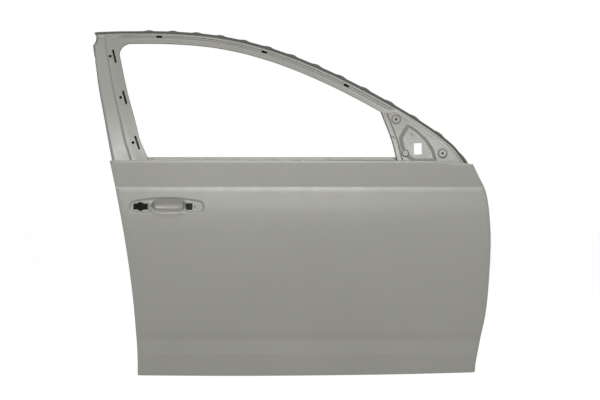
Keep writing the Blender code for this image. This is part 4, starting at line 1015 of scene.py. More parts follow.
def scallop(x):
    """Bump of the header's upper flange at one place along it."""
    phase = ((x - SCALLOP_FIRST) / SCALLOP_PITCH + 0.5) % 1 - 0.5
    return settings("frame").scallop_height * ease(SCALLOP_PLATEAU - abs(phase) * SCALLOP_SLOPE)


def past_window(x):
    """0 beside the window, 1 beside the mirror plate, and between where the header strip narrows."""
    return clamp((x - SAIL_WINDOW[-1][1] - NARROWING_START) / NARROWING_LENGTH)


def strip_width(x):
    return lerp(HEADER_WIDTH, SAIL_STRIP_WIDTH, past_window(x))


def straight_below(points, z):
    """A window edge that runs on straight below the belt, as the glass does."""
    low, high = points[0], points[-1]
    if z >= low[0]:
        return smooth(points, z)
    return low[1] + (high[1] - low[1]) / (high[0] - low[0]) * (z - low[0])


def rear_wall(z):
    """Outside of the inner pan's rear wall: it follows the edge, and is straight beside the latch."""
    low, high = LATCH_ZONE
    if low < z < high:
        return lerp(rear_edge(low), rear_edge(high), (z - low) / (high - low)) + REAR_INSET
    return rear_edge(z) + REAR_INSET


def front_wall(z):
    return min(0.0, front_edge(z) - FRONT_INSET)


def bottom_wall(x):
    return bottom_edge(x) + BOTTOM_INSET


def pillar_outer_edge(z):
    """The pillar's outer edge, which is tucked inside the rear wall below the belt."""
    if z >= FRAME_TUCK:
        return smooth(PILLAR_OUTER, z)
    return rear_wall(min(z, WALL_TOP)) + SHEET + 0.002


def window_corner_height():
    return roof_line(PILLAR_WINDOW[-1][1] + WINDOW_CORNER) - HEADER_WIDTH - WINDOW_CORNER


def pillar_heights():
    return spaced(FRAME_FOOT, WALL_TOP + 0.002, 0.018) + [FRAME_TUCK] + \
        spaced(SILL_HEIGHT, window_corner_height(), 0.016)


def along_section(section, share):
    """Depth of a section at one share of its width."""
    share = clamp(share)
    for (low, start), (high, stop) in zip(section, section[1:]):
        if share <= high:
            return lerp(start, stop, ease((share - low) / max(high - low, TINY)))
    return section[-1][1]


def corner_depth(x, z, pillar, header):
    """Depth in the upper corner, where the header's ridge runs on over the pillar's step."""
    below = roof_distance(x, z)
    window, outer = smooth(PILLAR_WINDOW, z), smooth(PILLAR_OUTER, z)
    upright = along_section(pillar, min((window - x) / (window - outer), UPRIGHT_LIMIT))
    share = 1 - below / HEADER_WIDTH
    run = ease((x - RIDGE_START) / RIDGE_RUN)
    level = lerp(along_section(CORNER_SECTION, share), along_section(header, share), run)
    return lerp(level, lerp(upright, level, run), ease((below - RIDGE_BAND[0]) / RIDGE_BAND[1]))


def pillar_slot(x, z, lean, room=0.0):
    """Outline of one of the pillar's slots, with some room round it."""
    return slot_outline((x, z), PILLAR_SLOT_LENGTH + room, settings("frame").slot_width + room, 90 + lean)


def through_frame(cuts, outline, z, depth=FRAME_CUT):
    """Add a cutter through the frame's face at a height."""
    prism(cuts, outline, frame_face(z) - CUT_OUT, frame_face(z) + depth)


def frame_stations():
    """Cross-lines of the window frame, foot to front.

    Each is its window edge, its outer edge, its share of header, and its bump at the flange.
    """
    stations = [((straight_below(PILLAR_WINDOW, z), z), (pillar_outer_edge(z), z), 0.0, (0.0, 0.0))
                for z in pillar_heights()]
    corner_z = window_corner_height()
    centre = (straight_below(PILLAR_WINDOW, corner_z) + WINDOW_CORNER, corner_z)
    roof = [ROOF_LINE[0][0] + past for past in CORNER_RUN]
    path = filled_in([*CORNER_PATH, *((x, roof_line(x)) for x in roof)], CORNER_STEP)
    path = path[:path.index((roof[-1], roof_line(roof[-1]))) + 1]
    for k, place in enumerate(path):
        share = (k + 1) / (len(path) + 1)
        angle = math.radians(180 - CORNER_SWEEP * share)
        window = (centre[0] + WINDOW_CORNER * math.cos(angle), centre[1] + WINDOW_CORNER * math.sin(angle))
        turned = ease((share - CORNER_TURN[0]) / CORNER_TURN[1])
        stations.append((window, place, lerp(0.001, 0.999, turned), (0.0, 0.0)))
    for x in spaced(SCALLOP_FIRST - SCALLOP_PITCH / 3, HEADER_FRONT, SCALLOP_PITCH / 12):
        across, up = roof_normal(x)
        bump = scallop(x)
        stations.append((below_roof(x, strip_width(x)), (x, roof_line(x)), 1.0 + past_window(x),
                         (across * bump, up * bump)))
    return stations


def soften(section):
    """Round each bend of a section by swapping its corner for three points."""
    share = settings("frame").corner_softness
    points = [section[0]]
    for k in range(1, len(section) - 1):
        before, here, after = section[k - 1], section[k], section[k + 1]
        entry, leave = point_between(here, before, share), point_between(here, after, share)
        middle = [(entry[i] + 2 * here[i] + leave[i]) / 4 for i in (0, 1)]
        points += [entry, middle, leave]
    return points + [section[-1]]


def fine(sections, widest=0.028):
    """Sections with the same extra points put into every gap that is wide in any of them."""
    made = [[section[0]] for section in sections]
    for k in range(len(sections[0]) - 1):
        parts = max(math.ceil((section[k + 1][0] - section[k][0]) / widest) for section in sections)
        for section, out in zip(sections, made):
            out += [point_between(section[k], section[k + 1], part / parts) for part in range(1, parts + 1)]
    return made


def frame_strip(stations, *sections, corner=None):
    """Sheet swept round the window: its section turns from the pillar's into the header's and the sail's."""
    sections = fine([soften(section) for section in sections])
    columns = len(sections[0]) - 1

    def place(i, j):
        window, outer, mix, bump = stations[j]
        first = min(int(mix), len(sections) - 2)
        share, depth = point_between(sections[first][i], sections[first + 1][i], mix - first)
        if corner and 0 < mix < 1:
            share = lerp(share, i / columns, ease(min(mix, 1 - mix) * 8))
        edge = clamp((share - BUMP_EDGE[0]) / BUMP_EDGE[1])
        x, z = point_between(window, outer, share)
        x, z = x + edge * bump[0], z + edge * bump[1]
        if corner and (0 < mix < 1 or z > PILLAR_OUTER[-1][0] and x < RIDGE_START):
            flange = clamp((share - FLANGE_EDGE[0]) / FLANGE_EDGE[1])
            depth = lerp(corner_depth(x, z, *corner), FLANGE_DEPTH, flange)
        return (x, frame_face(z) + depth, z)
    return swept_sheet(columns, len(stations) - 1, place)


class DOORSHELL_OT_window_frame(bpy.types.Operator):
    """Roll the window frame's outer and inner strips, with slots, holes and the scalloped flange."""
    bl_idname = "doorshell.window_frame"
    bl_label = "Window frame"

    def execute(self, context):
        sizes = settings("frame")
        stations = frame_stations()
        bm = frame_strip(stations, PILLAR_SECTION, HEADER_SECTION, SAIL_SECTION,
                         corner=(PILLAR_SECTION, HEADER_SECTION))
        # Painted shade: faces within that width of the upper edge get the darker primer
        for face in bm.faces:
            middle = face.calc_center_median()
            face.material_index = int(roof_distance(middle.x, middle.z) < sizes.painted_shade_width)
        outer = clean_sheet(bm, "frame_outer_strip", primer("frame"), FRAME_SHEET)
        outer.data.materials.append(primer("edge"))
        cuts = bmesh.new()
        for x, z, lean in PILLAR_SLOTS:
            hole = ring((x - PILLAR_HOLE_OFFSET, z), sizes.hole_radius, 16)
            through_frame(cuts, pillar_slot(x, z, lean), z)
            through_frame(cuts, hole, z)
        for x in HEADER_SLOTS:
            across, up = roof_normal(x)
            centre = below_roof(x, HEADER_SLOT_INSET)
            lean = math.degrees(math.atan2(-across, up))
            slot = slot_outline(centre, HEADER_SLOT_LENGTH, sizes.slot_width, lean)
            through_frame(cuts, slot, centre[1])
        stand_for(outer, "window_frame_outer", cuts)
        bm = frame_strip(stations, INNER_PILLAR_SECTION, INNER_HEADER_SECTION, INNER_SAIL_SECTION)
        # Painted shade: the inner strip's outboard face is seen only through the outer strip's slots and gaps
        # and gets the darkest primer; its far side gets the frame primer
        inner = clean_sheet(bm, "frame_inner_strip", primer("painted_deep_shade"), FRAME_SHEET)
        far_side_material(inner, primer("frame"))
        stand_for(inner, "window_frame_inner")
        return {"FINISHED"}


# Mirror corner and glass channels

MIRROR_SHEET = 0.0012
CHANNEL_SHEET = 0.0010
# Mesh steps: of edges in view, of edges behind the skin, and over the mirror plate
VIEW_STEP = 0.010
HIDDEN_STEP = 0.025
PLATE_STEP = 0.0032
# Glass channels; the step is the height, rise and lean of the lap joint in the front one
CHANNEL_BEND = 0.0028
CHANNEL_WEB = 4
GUIDE_DEPTH = 0.012
GUIDE_SETBACK = 0.0012
GUIDE_LIP = 0.0022
GUIDE_FOOT = -0.250
WIDE_GUIDE = 0.0065
WIDENING = 0.035
GUIDE_STEP = (0.252, 0.0009, 0.5)
STEP_BLEND = 0.040
# Mirror plate: bosses, pocket, wiring window and dimple (centre, then height, radius and wall)
MIRROR_BOSSES = ((-0.2479, 0.3020), (-0.1086, 0.1980), (-0.2208, 0.1986))
BOSS_RIMS = (0.0155, 0.0155, 0.0116)
BOSS_PAD = 0.68
BOSS_BORE = 0.0039
MIRROR_POCKET = ((-0.2120, 0.2905), (-0.2270, 0.2700), (-0.2400, 0.2460), (-0.2365, 0.2240),
                 (-0.2290, 0.2030), (-0.2120, 0.1810), (-0.1960, 0.1720), (-0.1235, 0.1720),
                 (-0.1345, 0.2123), (-0.1540, 0.2418), (-0.1805, 0.2680))
POCKET_WALL = 0.0105
MIRROR_WINDOW = (-0.1827, 0.2121)
MIRROR_WINDOW_SIZE = (0.0230, 0.0340)
MIRROR_DIMPLE = (-0.2027, 0.2543)
DIMPLE = (0.0012, 0.005, 0.004)
MIRROR_FOOT = 0.125
MIRROR_RETURN = 0.0085
MIRROR_LEAN = 0.0005
MIRROR_TOP = 0.322
MIRROR_HEIGHTS = spaced(MIRROR_TOP, MIRROR_FOOT, VIEW_STEP)
MIRROR_TOP_SETBACK = 0.027
MIRROR_FRONT_SETBACK = 0.012
MIRROR_CUT = (-0.05, 0.08)
# Discs of painted shade behind the mirror's nuts, dark so that their bores read dark, and the plug in the
# third boss
NUT_HEIGHT = 0.0050
CAP_SHEET = 0.0008
CAP_RADIUS = 0.0042
CAP_TAPER = 0.94
PLUG_DEPTH = 0.0006


def boss_plane(centre, z):
    """The flat of a mirror boss, tangent to the frame's face at its centre."""
    return frame_face(centre[1]) + frame_slope(centre[1]) * (z - centre[1]) - settings("inside").boss_height


def mirror_face(x, z):
    """Outboard surface of the mirror plate, with its bosses, pocket and dimple."""
    inner = settings("inside")
    depth = frame_face(z) + inner.pocket_depth * ease(edge_distance((x, z), MIRROR_POCKET) / POCKET_WALL)
    for centre, rim in zip(MIRROR_BOSSES, BOSS_RIMS):
        away = math.dist((x, z), centre)
        depth = lerp(depth, boss_plane(centre, z), ease((rim - away) / (rim * (1 - BOSS_PAD))))
    height, radius, wall = DIMPLE
    depth -= height * ease((radius - math.dist((x, z), MIRROR_DIMPLE)) / wall)
    return depth + FRAME_SHEET + FIT


def front_channel_depth(z):
    """Depth of the front channel along the car: it is wider where it shows over the belt."""
    return GUIDE_DEPTH + WIDE_GUIDE * ease((z - MIRROR_FOOT) / WIDENING)


def mirror_outline():
    """Triangle between the front glass channel, the header strip and the foot behind the skin."""
    rear = GUIDE_SETBACK + SAIL_GAP
    outline = [(straight_below(SAIL_WINDOW, z) + front_channel_depth(z) + rear, z) for z in MIRROR_HEIGHTS]
    front, top = HEADER_FRONT - MIRROR_FRONT_SETBACK, SAIL_WINDOW[-1][1] + MIRROR_TOP_SETBACK
    edge = [below_roof(x, strip_width(x) - SAIL_LAP) for x in spaced(front, top, VIEW_STEP)]
    foot = edge[0][0] - MIRROR_FRONT_SETBACK
    outline += [(x, MIRROR_FOOT) for x in spaced(outline[-1][0], foot, VIEW_STEP)[1:]]
    return outline + edge


def channel_section():
    """U of a glass channel as (distance back from the glass's edge, distance inboard)."""
    near, far = FRAME_SHEET + FIT, GLASS_SLOT - FIT
    back = GUIDE_DEPTH - CHANNEL_BEND
    return [(0.0, near), (GUIDE_LIP, near), (back, near),
            *arc((back, near + CHANNEL_BEND), CHANNEL_BEND, -90, 90, 5),
            *arc((back, far - CHANNEL_BEND), CHANNEL_BEND, 0, 90, 5), (0.0, far)]


def channel_sheet(points, side, heights):
    """Sheet of a glass channel; the front one, with side above zero, is wide and stepped over the belt."""
    section = channel_section()
    step_height, step_rise, step_lean = GUIDE_STEP

    def place(i, j):
        z = heights[j]
        back, depth = section[i]
        if side > 0:
            back *= front_channel_depth(z) / GUIDE_DEPTH
            if i < CHANNEL_WEB and z < step_height:
                depth += step_rise
            z -= step_lean * back * clamp(1 - abs(z - step_height) / STEP_BLEND)
        return (straight_below(points, z) + side * (back + GUIDE_SETBACK), frame_face(z) + depth, z)
    return swept_sheet(len(section) - 1, len(heights) - 1, place)


class DOORSHELL_OT_mirror_corner(bpy.types.Operator):
    """Press the mirror plate, with its bosses, pocket and wiring window."""
    bl_idname = "doorshell.mirror_corner"
    bl_label = "Mirror corner"

    def execute(self, context):
        rings = [filled_in(grown(MIRROR_POCKET, -POCKET_WALL * share), 0.0025)
                 for share in (0.0, 0.25, 0.5, 0.75, 1.0)]
        for centre, rim in zip(MIRROR_BOSSES, BOSS_RIMS):
            rings += [ring(centre, rim * share, 32) for share in (1.0, (1.0 + BOSS_PAD) / 2, BOSS_PAD)]
        bm, chain = pressed_sheet(mirror_outline(), mirror_face, PLATE_STEP, rings)
        beside = chain[:len(MIRROR_HEIGHTS)]
        extrude_chain(bm, beside, [(v.co.x - MIRROR_LEAN, v.co.y + MIRROR_RETURN, v.co.z) for v in beside])
        plate = clean_sheet(bm, "mirror_plate", primer("plate"), MIRROR_SHEET)
        cuts = bmesh.new()
        for centre in MIRROR_BOSSES:
            prism(cuts, ring(centre, BOSS_BORE, 18), *MIRROR_CUT)
        prism(cuts, centred_box(MIRROR_WINDOW, *MIRROR_WINDOW_SIZE, 0.002, 4), *MIRROR_CUT)
        stand_for(plate, "mirror_reinforcement", cuts)
        return {"FINISHED"}


class DOORSHELL_OT_glass_channels(bpy.types.Operator):
    """Roll the two U channels that guide the glass."""
    bl_idname = "doorshell.glass_channels"
    bl_label = "Glass channels"

    def execute(self, context):
        below = spaced(GUIDE_FOOT, FRAME_FOOT, HIDDEN_STEP)[:-1]
        front = below + spaced(FRAME_FOOT, GUIDE_STEP[0] - 0.002, VIEW_STEP)
        front += spaced(GUIDE_STEP[0], SAIL_WINDOW[-1][0] + 0.006, VIEW_STEP)
        for end, points, side, heights in (("rear", PILLAR_WINDOW, -1, below + pillar_heights()),
                                           ("front", SAIL_WINDOW, 1, front)):
            bm = channel_sheet(points, side, heights)
            # Painted shade: faces of the outer leg at the channel's mouth get the darker primer, and the
            # sheet's far side, inside the U, the darkest
            for face in bm.faces:
                x, y, z = face.calc_center_median()
                back = side * (x - straight_below(points, z)) - GUIDE_SETBACK
                face.material_index = int(back < GUIDE_LIP and y < frame_face(z) + GLASS_SLOT / 2)
            piece = clean_sheet(bm, end + "_glass_channel", primer("frame"), CHANNEL_SHEET, angle=40)
            piece.data.materials.append(primer("edge"))
            far_side_material(piece, primer("painted_deep_shade"))
            slots = None
            if side < 0:
                slots = bmesh.new()
                for x, z, lean in PILLAR_SLOTS:
                    through_frame(slots, pillar_slot(x, z, lean, 0.006), z, FRAME_DEPTH)
            stand_for(piece, "glass_channel_" + end, slots)
        return {"FINISHED"}


# Inner panel and the steel behind the skin

# The pan's face and belt, and how wide the slope of a step in it is for its height
INNER_FACE = 0.050
STEP_SLOPE = 1.3
BELT_FACE = frame_face(SILL_HEIGHT) + FRAME_DEPTH + FRAME_SHEET + FIT
SHOULDER = (0.088, 0.118)
BELT_ROLL = 0.0130
BELT_LEAN = 0.07
# Boxes (left, right, low, high) of the raised field and the carrier opening
FIELD = (-0.945, -0.215, -0.245, 0.070)
FIELD_STEP = 0.008
CARRIER = (-0.900, -0.260, -0.205, 0.045)
CARRIER_CORNER = 0.055
HANDLE_CORNER = 0.095
SPEAKER = (-0.1500, -0.3380)
SPEAKER_RADIUS = 0.0800
SPEAKER_RIM = 0.0930
SPEAKER_STEP = 0.0050
# Access holes as (place along the car, height, radius); their rims rise, start and run
ACCESS_HOLES = ((-0.960, -0.330, 0.022), (-0.780, -0.340, 0.018), (-0.520, -0.345, 0.030),
                (-0.980, 0.020, 0.015), (-0.330, -0.340, 0.015))
ACCESS_RIM = (0.0015, 0.009, 0.005)
# Drain slots: places along the car, and half of length, depth and height
DRAIN_PLACES = (-0.900, -0.520, -0.150)
DRAIN_SIZE = (0.015, 0.004, 0.01)
HINGE_HEIGHTS = (0.0, -0.270)
HINGE_BOLTS = 0.044
HINGE_BOLT_HOLE = 0.0045
# Door check: height, slot's height and width, bolts' pitch and hole; wiring: height and radius;
# latch: height, slot's height, reach outboard and inboard
CHECK = (-0.130, 0.034, 0.020, 0.052, 0.0034)
HARNESS = (0.114, 0.016)
LATCH = (-0.010, 0.056, 0.030, 0.012)
CUT_REACH = 0.020
# The pan's corners, the rounds at both ends of its walls, and how its hem's edge turns the lower corners
PAN_CORNER = 0.012
PAN_SPLIT = -0.5
FACE_ROUND = 0.005
FOOT_ROUND = 0.003
HEM_CORNER = 0.0125
HEM_BOTTOM = (0.0135, 0.035)


def in_box(x, z, box, corner):
    """Distance inside a rounded rectangle, below zero outside it."""
    left, right, low, high = box
    off_x = abs(x - (left + right) / 2) - (right - left) / 2 + corner
    off_z = abs(z - (low + high) / 2) - (high - low) / 2 + corner
    outside = math.hypot(max(off_x, 0.0), max(off_z, 0.0)) + min(max(off_x, off_z), 0.0)
    return corner - outside


def bead_lines():
    """Stiffening beads of the inner panel, each from one end to the other."""
    inner = settings("inside")
    lines = []
    for x in spaced(-0.86, -0.40, 0.46 / max(inner.beads - 1, 1))[:inner.beads]:
        lines.append(((x, -0.290), (x - 0.010, -0.305)))
    lines += [((-1.005, -0.215), (-0.985, -0.060)), ((-1.030, 0.060), (-0.990, 0.075)),
              ((-0.170, -0.200), (-0.150, -0.020)), ((-0.100, -0.200), (-0.085, -0.020)),
              ((-0.880, -0.415), (-0.640, -0.418)), ((-0.470, -0.418), (-0.300, -0.415))]
    return lines


def bead_share(x, z):
    """How far up the nearest bead a place stands, from 0 to 1."""
    width = settings("inside").bead_width
    away = min(line_distance((x, z), start, stop) for start, stop in bead_lines())
    return ease((width / 2 - away) / (width * 0.45))


def inner_face(x, z):
    """Outboard surface of the inner panel's face, with its shoulder, fields, speaker seat and beads."""
    share = (z - SHOULDER[0]) / (SHOULDER[1] - SHOULDER[0])
    depth = lerp(INNER_FACE, BELT_FACE, ease(share))
    depth -= FIELD_STEP * ease(in_box(x, z, FIELD, CARRIER_CORNER) / (FIELD_STEP * STEP_SLOPE))
    rim = SPEAKER_RIM - math.dist((x, z), SPEAKER)
    depth += SPEAKER_STEP * ease(rim / (SPEAKER_STEP * STEP_SLOPE))
    rise, start, run = ACCESS_RIM
    for hole in ACCESS_HOLES:
        depth -= rise * ease((start + hole[2] - math.dist((x, z), hole[:2])) / run)
    if share < 0:
        depth -= settings("inside").bead_height * bead_share(x, z)
    return depth + BELT_LEAN * max(0.0, z - SILL_HEIGHT + BELT_ROLL)


def pan_outline(step, inset):
    """Outline of the inner pan's walls, drawn in by an inset, from the belt down, along and up."""
    rear_x, front_x = SKIN_BOTTOM_EDGE[0][0] + REAR_INSET, SKIN_BOTTOM_EDGE[-1][0] - FRONT_INSET
    rear_low, front_low = bottom_wall(rear_x) + PAN_CORNER, bottom_wall(front_x) + PAN_CORNER
    rear = [(rear_wall(z) + inset, z) for z in reversed(edge_marks(rear_low, WALL_TOP, step))]
    front = [(front_wall(z) - inset, z) for z in edge_marks(front_low, WALL_TOP, step)]
    start, stop = rear[-1][0] + PAN_CORNER, front[0][0] - PAN_CORNER
    rear_turn = (start, bottom_wall(rear[-1][0]) + inset + PAN_CORNER)
    front_turn = (stop, bottom_wall(stop) + inset + PAN_CORNER)
    along = [(x, bottom_wall(x) + inset) for x in spaced(start, stop, step)[1:-1]]
    return (rear + arc(rear_turn, PAN_CORNER, 180, 90, 3)[1:] + along
            + arc(front_turn, PAN_CORNER, -90, 90, 3)[:-1] + front)


class DOORSHELL_OT_inner_panel(bpy.types.Operator):
    """Draw the inner pan, with its fields, openings, beads, walls and flange."""
    bl_idname = "doorshell.inner_panel"
    bl_label = "Inner panel"

    def execute(self, context):
        step = settings("inside").step
        wall = pan_outline(step, SHEET)
        face = grown(wall, -FACE_ROUND, closed=False)
        top = [(x, SILL_HEIGHT) for x in spaced(*self.top_ends(), step)]
        corners = (CARRIER_CORNER, CARRIER_CORNER, HANDLE_CORNER, CARRIER_CORNER)
        carrier = rounded_box(CARRIER, corners, 8, step)
        holes = [carrier, ring(SPEAKER, SPEAKER_RADIUS, 64)]
        holes += [ring((x, z), radius, 32) for x, z, radius in ACCESS_HOLES]
        left, right, low, high = FIELD
        rings = []
        for share in (0.0, STEP_SLOPE / 2, STEP_SLOPE):
            inset = FIELD_STEP * share
            rings.append(rounded_box((left + inset, right - inset, low + inset, high - inset),
                                     [CARRIER_CORNER - inset] * 4, step=step))
            rings.append(ring(SPEAKER, SPEAKER_RIM - SPEAKER_STEP * share, 64))
        lines = [[(x, z) for x in spaced(rear_wall(z) + step, front_wall(z) - step, step)]
                 for z in (*spaced(*SHOULDER, 0.0075), SILL_HEIGHT - BELT_ROLL)]
        bm, chain = pressed_sheet(face + top, inner_face, step, rings, lines, holes)
        self.walls(bm, chain[:len(face)], wall)
        panel = clean_sheet(bm, "inner_pan", primer("inner"), SHEET, angle=38)
        stand_for(panel, "inner_panel", self.cuts())
        return {"FINISHED"}

    @staticmethod
    def top_ends():
        """Where the pan's top edge starts at the front and ends at the rear."""
        low, high = -0.9, HEADER_FRONT + 0.01
        for _ in range(40):
            middle = (low + high) / 2
            low, high = (middle, high) if roof_line(middle) > SILL_HEIGHT else (low, middle)
        return low - HEADER_WIDTH / 2, smooth(PILLAR_OUTER, SILL_HEIGHT) + REAR_INSET

    def walls(self, bm, chain, wall):
        """Draw the walls from the face's edge to the skin, and turn them out into the hem's flange."""
        start = [vert.co.copy() for vert in chain]
        for turn in range(1, 5):
            angle = math.radians(22.5 * turn)
            out, drop = math.sin(angle), 1 - math.cos(angle)
            chain = extrude_chain(bm, chain, [
                (here.x + (x - here.x) * out, here.y - FACE_ROUND * drop, here.z + (z - here.z) * out)
                for here, (x, z) in zip(start, wall)])
        seat = [behind_skin(x, z) + FOOT_ROUND for x, z in wall]
        chain = extrude_chain(bm, chain, [(x, y, z) for (x, z), y in zip(wall, seat)])
        for turn in range(1, 4):
            angle = math.radians(30 * turn)
            reach, sink = FOOT_ROUND * (1 - math.cos(angle)), FOOT_ROUND * math.sin(angle)
            chain = extrude_chain(bm, chain, [
                (x + out[0] * reach, y - sink, z + out[1] * reach)
                for (x, z), y, out in zip(wall, seat, unit_normals(wall))])
        extrude_chain(bm, chain, [(x, behind_skin(x, z), z) for x, z in self.hem_edge(wall)])

    @staticmethod
    def hem_edge(wall):
        """Edge of the flange that the skin is hemmed over, point for point beside the wall."""
        inset = SHEET + FIT
        band, margin = HEM_BOTTOM
        edge = []
        for x, z in wall:
            bottom = bottom_edge(x) + inset
            depth = z - bottom_wall(x)
            if depth < band and SKIN_BOTTOM_EDGE[0][0] + margin < x < SKIN_BOTTOM_EDGE[-1][0] - margin:
                edge.append((x, bottom))
                continue
            side = rear_edge(z) + inset if x < PAN_SPLIT else front_edge(z) - inset
            edge.append((side, z if depth > HEM_CORNER else lerp(bottom, z, clamp(depth / HEM_CORNER))))
        return edge

    @staticmethod
    def cuts():
        """Cutters of the hinge, door check, wiring and latch holes and of the drain slots."""
        bm = bmesh.new()

        def along_x(height, radius, points=20):
            matrix = Matrix.Translation((0, 0, height)) @ Matrix.Rotation(math.pi / 2, 4, "Y")
            bmesh.ops.create_cone(bm, cap_ends=True, segments=points, radius1=radius, radius2=radius,
                                  depth=2 * CUT_REACH, matrix=matrix)

        def block(low, high):
            size = [high[k] - low[k] for k in range(3)]
            middle = [(high[k] + low[k]) / 2 for k in range(3)]
            bmesh.ops.create_cube(bm, size=1, matrix=Matrix.Translation(middle) @ Matrix.Diagonal((*size, 1)))

        for hinge in HINGE_HEIGHTS:
            for side in (-1, 1):
                along_x(hinge + side * HINGE_BOLTS / 2, HINGE_BOLT_HOLE)
        height, tall, wide, bolts, bolt_hole = CHECK
        for side in (-1, 1):
            along_x(height + side * bolts / 2, bolt_hole)
        block((-CUT_REACH, -wide / 2, height - tall / 2), (CUT_REACH, wide / 2, height + tall / 2))
        along_x(*HARNESS, 32)
        height, tall, out, inboard = LATCH
        x = rear_wall(height)
        block((x - CUT_REACH, -out, height - tall / 2), (x + CUT_REACH, inboard, height + tall / 2))
        length, depth, tall = DRAIN_SIZE
        for x in DRAIN_PLACES:
            z = bottom_wall(x)
            block((x - length, -depth, z - tall), (x + length, depth, z + tall))
        return bm


# Hat sections under the belt: heights of their bends, ends, depth, and gaps at their ends and top
BELT_HAT_HEIGHTS = (0.098, 0.112, 0.118, 0.146, 0.152)
INNER_HAT_HEIGHTS = (0.124, 0.136, 0.142, 0.172, 0.178)
INNER_HAT_ENDS = (-0.985, -0.257)
BELT_HAT_DEPTH = 0.014
HAT_DEPTHS = (0.0, 0.0, BELT_HAT_DEPTH, BELT_HAT_DEPTH, 0.0, 0.0)
BELT_COLUMNS = 60
BELT_GAPS = (0.003, 0.002)


class DOORSHELL_OT_belt_rails(bpy.types.Operator):
    """Roll the two hat sections under the belt."""
    bl_idname = "doorshell.belt_rails"
    bl_label = "Belt rails"

    def execute(self, context):
        self.outer_rail()
        self.inner_rail()
        return {"FINISHED"}

    @staticmethod
    def outer_rail():
        """Roll the rail behind the skin's upper edge, its last row along that edge."""
        reach = SHEET + FIT
        section = soften(list(zip((*BELT_HAT_HEIGHTS, 1.0), HAT_DEPTHS))[:5])
        section.append((None, 0.0))

        def place(i, j):
            z, depth = section[j]
            side = SKIN_FRONT_EDGE[-1][0] if z is None else z
            x = lerp(rear_wall(side) + reach, front_wall(side) - reach - BELT_GAPS[0], i / BELT_COLUMNS)
            if z is None:
                z = belt_edge(x) - reach - BELT_GAPS[1]
            return (x, behind_skin(x, z) + depth, z)

        bm = swept_sheet(BELT_COLUMNS, len(section) - 1, place)
        stand_for(clean_sheet(bm, "outer_belt_rail", primer("plate"), SHEET), "belt_reinforcement_outer")

    @staticmethod
    def inner_rail():
        """Roll the rail on the inner panel's upper edge."""
        seat = BELT_FACE - FIT - SHEET
        rail = soften(list(zip((*INNER_HAT_HEIGHTS, SILL_HEIGHT - BELT_GAPS[1]), HAT_DEPTHS)))
        bm = swept_sheet(2, len(rail) - 1,
                         lambda i, j: (lerp(*INNER_HAT_ENDS, i / 2), seat - rail[j][1], rail[j][0]))
        stand_for(clean_sheet(bm, "inner_belt_rail", primer("plate"), SHEET), "belt_reinforcement_inner")


class DOORSHELL_OT_inside_steel(bpy.types.Operator):
    """Prime the beam, the brackets and the plates behind the hinges, door check, latch and handle."""
    bl_idname = "doorshell.inside_steel"
    bl_label = "Beam, brackets and plates"

    def execute(self, context):
        for node in ("impact_beam", "beam_bracket_front", "beam_bracket_rear", "hinge_reinforcement_upper",
                     "hinge_reinforcement_lower", "check_reinforcement", "latch_reinforcement",
                     "handle_bracket"):
            piece = dress(node, primer("plate"))
            piece.data.shade_smooth()
            piece.data.set_sharp_from_angle(angle=math.radians(35))
        return {"FINISHED"}


class DOORSHELL_OT_fasteners(bpy.types.Operator):
    """Give the weld nuts their zinc or phosphate and the pads their mastic, and add the discs of painted
    shade behind the mirror's nuts and the plug in the third boss.
    """
    bl_idname = "doorshell.fasteners"
    bl_label = "Nuts and pads"

    def execute(self, context):
        finish = settings("finish")
        zinc = metal_material("Zinc", finish.zinc, 0.42)
        phosphate = metal_material("Black phosphate", finish.phosphate, 0.55)
        mastic = mastic_material("Foamed mastic", finish.mastic)
        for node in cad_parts:
            if "_nut_" in node:
                dress(node, phosphate if node.startswith("mirror") else zinc)
            if node.startswith("mastic_pad"):
                dress(node, mastic)
        # Painted shade: dark discs behind the mirror's nuts close their bores with the darkest primer
        behind = MIRROR_SHEET + NUT_HEIGHT + 2 * FIT + CAP_SHEET / 2
        discs = (("mirror_nut_caps", MIRROR_BOSSES, behind, CAP_RADIUS, primer("painted_deep_shade")),
                 ("mirror_plug", MIRROR_BOSSES[2:], PLUG_DEPTH, BOSS_BORE - FIT, primer("plate")))
        for name, centres, depth, radius, coat in discs:
            bm = bmesh.new()
            for centre in centres:
                back = Vector((0.0, 1.0, -frame_slope(centre[1]))).normalized()
                seat = Vector((centre[0], boss_plane(centre, centre[1]) + FRAME_SHEET + FIT, centre[1]))
                turned = back.to_track_quat("Z", "Y").to_matrix().to_4x4()
                bmesh.ops.create_cone(
                    bm, cap_ends=True, segments=24, radius1=radius, radius2=radius * CAP_TAPER,
                    depth=CAP_SHEET, matrix=Matrix.Translation(seat + back * depth) @ turned)
            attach(settle(closed_piece(bm, name, coat)), "root")
        return {"FINISHED"}


# Stage

# Centre of the photograph on the door, and how far out its skin stands
DOOR_CENTRE = Vector((-0.540, 0.0, 0.057))
SKIN_OUT = -0.064
# Key lamp: its place along the door from the centre, reach and size; then the others' names, settings, places
# and sizes
KEY_LAMP = (-0.1, 6.0, (2.0, 1.0))
LAMPS = (("Upper lamp", "upper_power", (-0.64, -3.6, 4.657), (2.0, 0.8)),
         ("Top lamp", "top_power", (-0.74, -0.8, 3.2), (2.2, 1.6)),
         ("Back lamp", "back_power", (-1.74, 4.6, 1.6), (2.4, 2.0)))
FLOOR_SIZE = 30
FLOOR_DROP = 0.0005
FLOOR_GREY = 0.4
# Share of the floor's own light that the camera sees, and its strength
FLOOR_GLOW = (0.84, 1.16)


